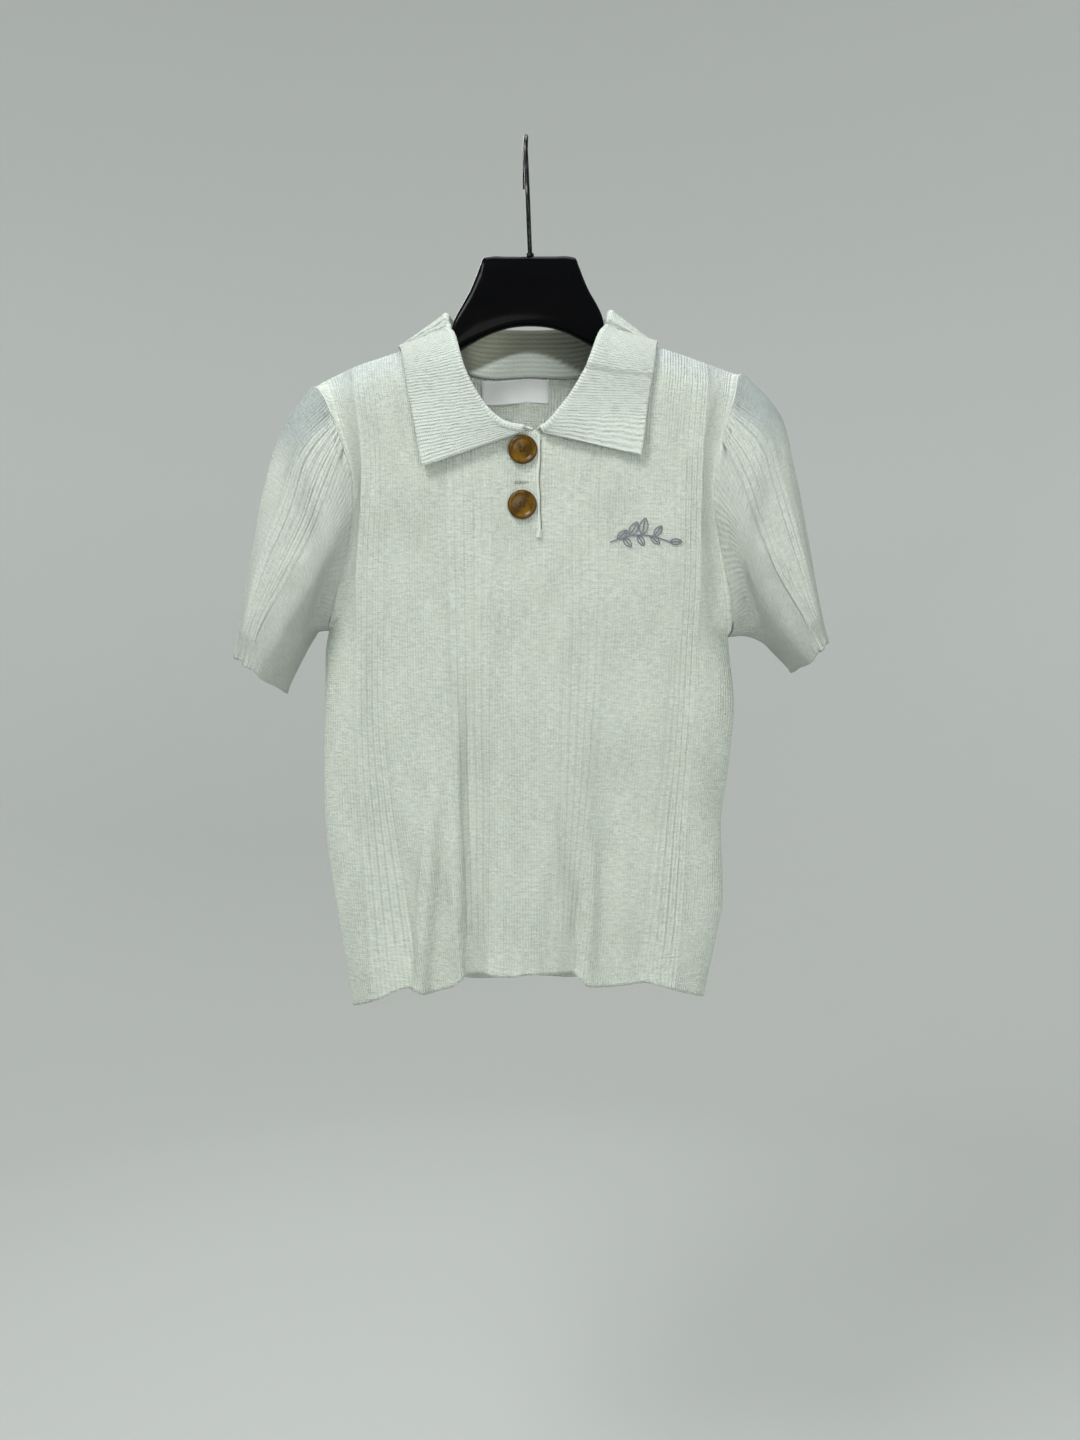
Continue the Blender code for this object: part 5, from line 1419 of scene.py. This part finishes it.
def make_hanger(made_of):
    """The moulding through the same sections, with more of them and more sides to each."""
    coarse = np.array(hanger_sections())
    steps = run_lengths(coarse[:, :2])
    at = np.unique(np.concatenate([steps, np.linspace(0, steps[-1], HANGER_RINGS)]))
    fine = np.stack([smooth(steps, coarse[:, column], at) for column in range(4)], axis=-1)
    fine[:, 3] = np.maximum(fine[:, 3], 0.001)
    rings = np.array([hanger_ring(*row, sides=HANGER_RING_SIDES) for row in fine]) + SHIFT
    count, sides = rings.shape[:2]
    first = tuple(range(sides))
    faces = [*ring_faces(count, sides), first[::-1], tuple((count - 1) * sides + k for k in first)]
    mesh = mesh_of("hanger_moulding", rings, faces, made_of)
    ride(linked("hanger_moulding", mesh), ["hanger_body"])


def make_hook(made_of):
    """The wire, and the ferrule where it enters the hanger."""
    route = np.array(hook_route())
    steps = run_lengths(route)
    at = np.linspace(0, steps[-1], HOOK_POINTS)
    fine = np.stack([smooth(steps, route[:, axis], at) for axis in range(3)], axis=-1)
    in_frame = {"shift": 0.0, "stands_for": ["hanger_hook"]}
    tube("hook_wire", [fine], WIRE_RADIUS, made_of, "dark_steel", resolution=6, **in_frame)
    ferrule = [(0.0, 0.0, SHANK_FOOT_Z - 0.0002), (0.0, 0.0, SHANK_FOOT_Z + 0.0022)]
    tube("hook_ferrule", [ferrule], 0.0034, made_of, "dark_steel")


# ---------------------------------------------------------------- set, light, camera

FLOOR_Z = -1.38
STAGE_RADIUS = 2.6
STAGE_TOP = 3.5
STAGE_SIDES = 96
WORLD_LOW = (0.30, 0.31, 0.295)
WORLD_HIGH = (0.70, 0.73, 0.72)
WORLD_STRENGTH = 0.24
CAMERA_PLACE = (0.0121, -0.92, -0.492)
CAMERA_LENS = 27.05  # mm, before a 36 mm sensor
# Lights: name, place, what it is turned to, size, power, colour
LIGHTS = (
    ("key", (-0.70, -1.05, 0.95), (0.0, 0.0, -0.42), 0.6, 20.5, (1.0, 1.0, 0.985)),
    ("front_fill", (0.5, -1.8, -0.5), (0.0, 0.0, -0.45), 1.2, 10.5, (1.0, 1.0, 1.0)),
    ("top", (0.05, 0.0, 1.0), (0.0, 0.0, -0.3), 0.7, 7.5, (0.93, 0.97, 1.0)),
    ("back_fill", (-0.4, 1.4, 0.6), (0.0, 0.0, -0.4), 1.0, 12.0, (1.0, 1.0, 1.0)),
)


def make_stage():
    """A pale round floor that curves up into a wall all round. It glows, a painted light that is brighter
    towards the top.
    """
    turn = np.linspace(0, math.pi / 2, 25)
    profile = [(0.02, FLOOR_Z)]
    profile += [(STAGE_RADIUS - 1 + math.sin(t), FLOOR_Z + 1 - math.cos(t)) for t in turn]
    profile += [(STAGE_RADIUS, STAGE_TOP)]
    angles = np.arange(STAGE_SIDES) * 2 * math.pi / STAGE_SIDES
    places = [(r * math.cos(a), r * math.sin(a), z) for r, z in profile for a in angles]
    faces = [*ring_faces(len(profile), STAGE_SIDES), tuple(range(STAGE_SIDES))]
    paint = Finish("floor_pale_glowing", (0.45, 0.465, 0.455), 0.9)
    z = paint.add("SeparateXYZ", Vector=paint.place()).outputs[2]
    # Painted light: the cove glows, brighter higher up.
    glow = paint.mixed(paint.spread(z, -1.6, 0.2), (0.12, 0.125, 0.12), (0.19, 0.20, 0.195))
    paint.dress({"Emission Color": glow, "Emission Strength": 1.0})
    linked("floor_cove", mesh_of("floor_cove", places, faces, paint.made))


def make_light():
    world = bpy.data.worlds.new("studio")
    world.use_nodes = True
    sky = Nodes(world.node_tree)
    height = sky.spread(sky.add("SeparateXYZ", Vector=sky.place("Generated")).outputs[2], -0.55, 0.45)
    background = sky.tree.nodes["Background"]
    sky.put(background.inputs["Color"], sky.mixed(height, WORLD_LOW, WORLD_HIGH))
    sky.put(background.inputs["Strength"], WORLD_STRENGTH)
    bpy.context.scene.world = world
    for name, place, target, size, power, colour in LIGHTS:
        light = bpy.data.lights.new(name, "AREA")
        light.shape = "DISK"
        light.size = size
        light.energy = power
        light.color = colour
        lamp = linked(name, light)
        lamp.location = place
        lamp.rotation_euler = (Vector(target) - Vector(place)).to_track_quat("-Z", "Y").to_euler()


def make_camera():
    camera = bpy.data.cameras.new("camera")
    camera.sensor_width = 36.0
    camera.lens = CAMERA_LENS
    camera.clip_start = 0.01
    holder = linked("camera", camera)
    holder.location = CAMERA_PLACE
    holder.rotation_euler = (math.radians(90), 0, 0)
    bpy.context.scene.camera = holder
    bpy.context.scene.view_settings.view_transform = "Standard"


def main():
    # Each knit takes the cloth's colour, the colour of painted shade in its grooves and the colour of its
    # painted cooler shade.
    knit = knit_material("knit_ivory", (0.83, 0.905, 0.80), (0.56, 0.62, 0.54), (0.74, 0.82, 0.85))
    sleeve_colours = (0.84, 0.91, 0.815), (0.56, 0.62, 0.55), (0.38, 0.44, 0.465)
    sleeve_knit = knit_material("knit_ivory_sleeve", *sleeve_colours)
    # The collar's colour, then the colour of painted shade in its troughs.
    ripple_knit = collar_material("knit_ripple", (0.74, 0.80, 0.73), (0.48, 0.53, 0.47))
    cloth_thread = thread_material("thread_ivory", (0.84, 0.88, 0.80))
    horn = horn_material()
    grey_thread = thread_material("thread_grey", (0.26, 0.28, 0.33))
    brown_thread = thread_material("thread_brown", (0.10, 0.045, 0.02))
    # Dark colour for the painted shade of the button holes.
    hole = thread_material("hole_shade", (0.02, 0.008, 0.004))
    make_panel("front", knit)
    make_panel("back", knit)
    make_sleeve("right", sleeve_knit)
    make_sleeve("left", sleeve_knit)
    make_collar(ripple_knit)
    upper = {"thick": 0.0010, "lift": 0.0003, "lip": 0.0013}
    under = {"thick": 0.0014, "lift": -CLOTH - SEAM_GAP, "lip": 0.0}
    make_band("band_upper", BAND_LEFT, BAND_RIGHT + 0.0007, NOTCH_Z, knit, "placket_upper", **upper)
    make_band("band_under", *UNDER_BAND, NOTCH_Z - 0.002, knit, "placket_under", **under)
    # Olive thread for the buttonhole, also used for the painted shadow line of the slit.
    make_stitching(cloth_thread, thread_material("thread_olive_and_slit_shadow", (0.30, 0.32, 0.24)))
    for name, x, z in BUTTONS:
        make_button(name, x, z, horn, hole, brown_thread)
    make_label(label_material())
    make_sprig(grey_thread)
    make_hanger(moulding_material())
    make_hook(wire_material())
    make_stage()
    make_light()
    make_camera()


main()
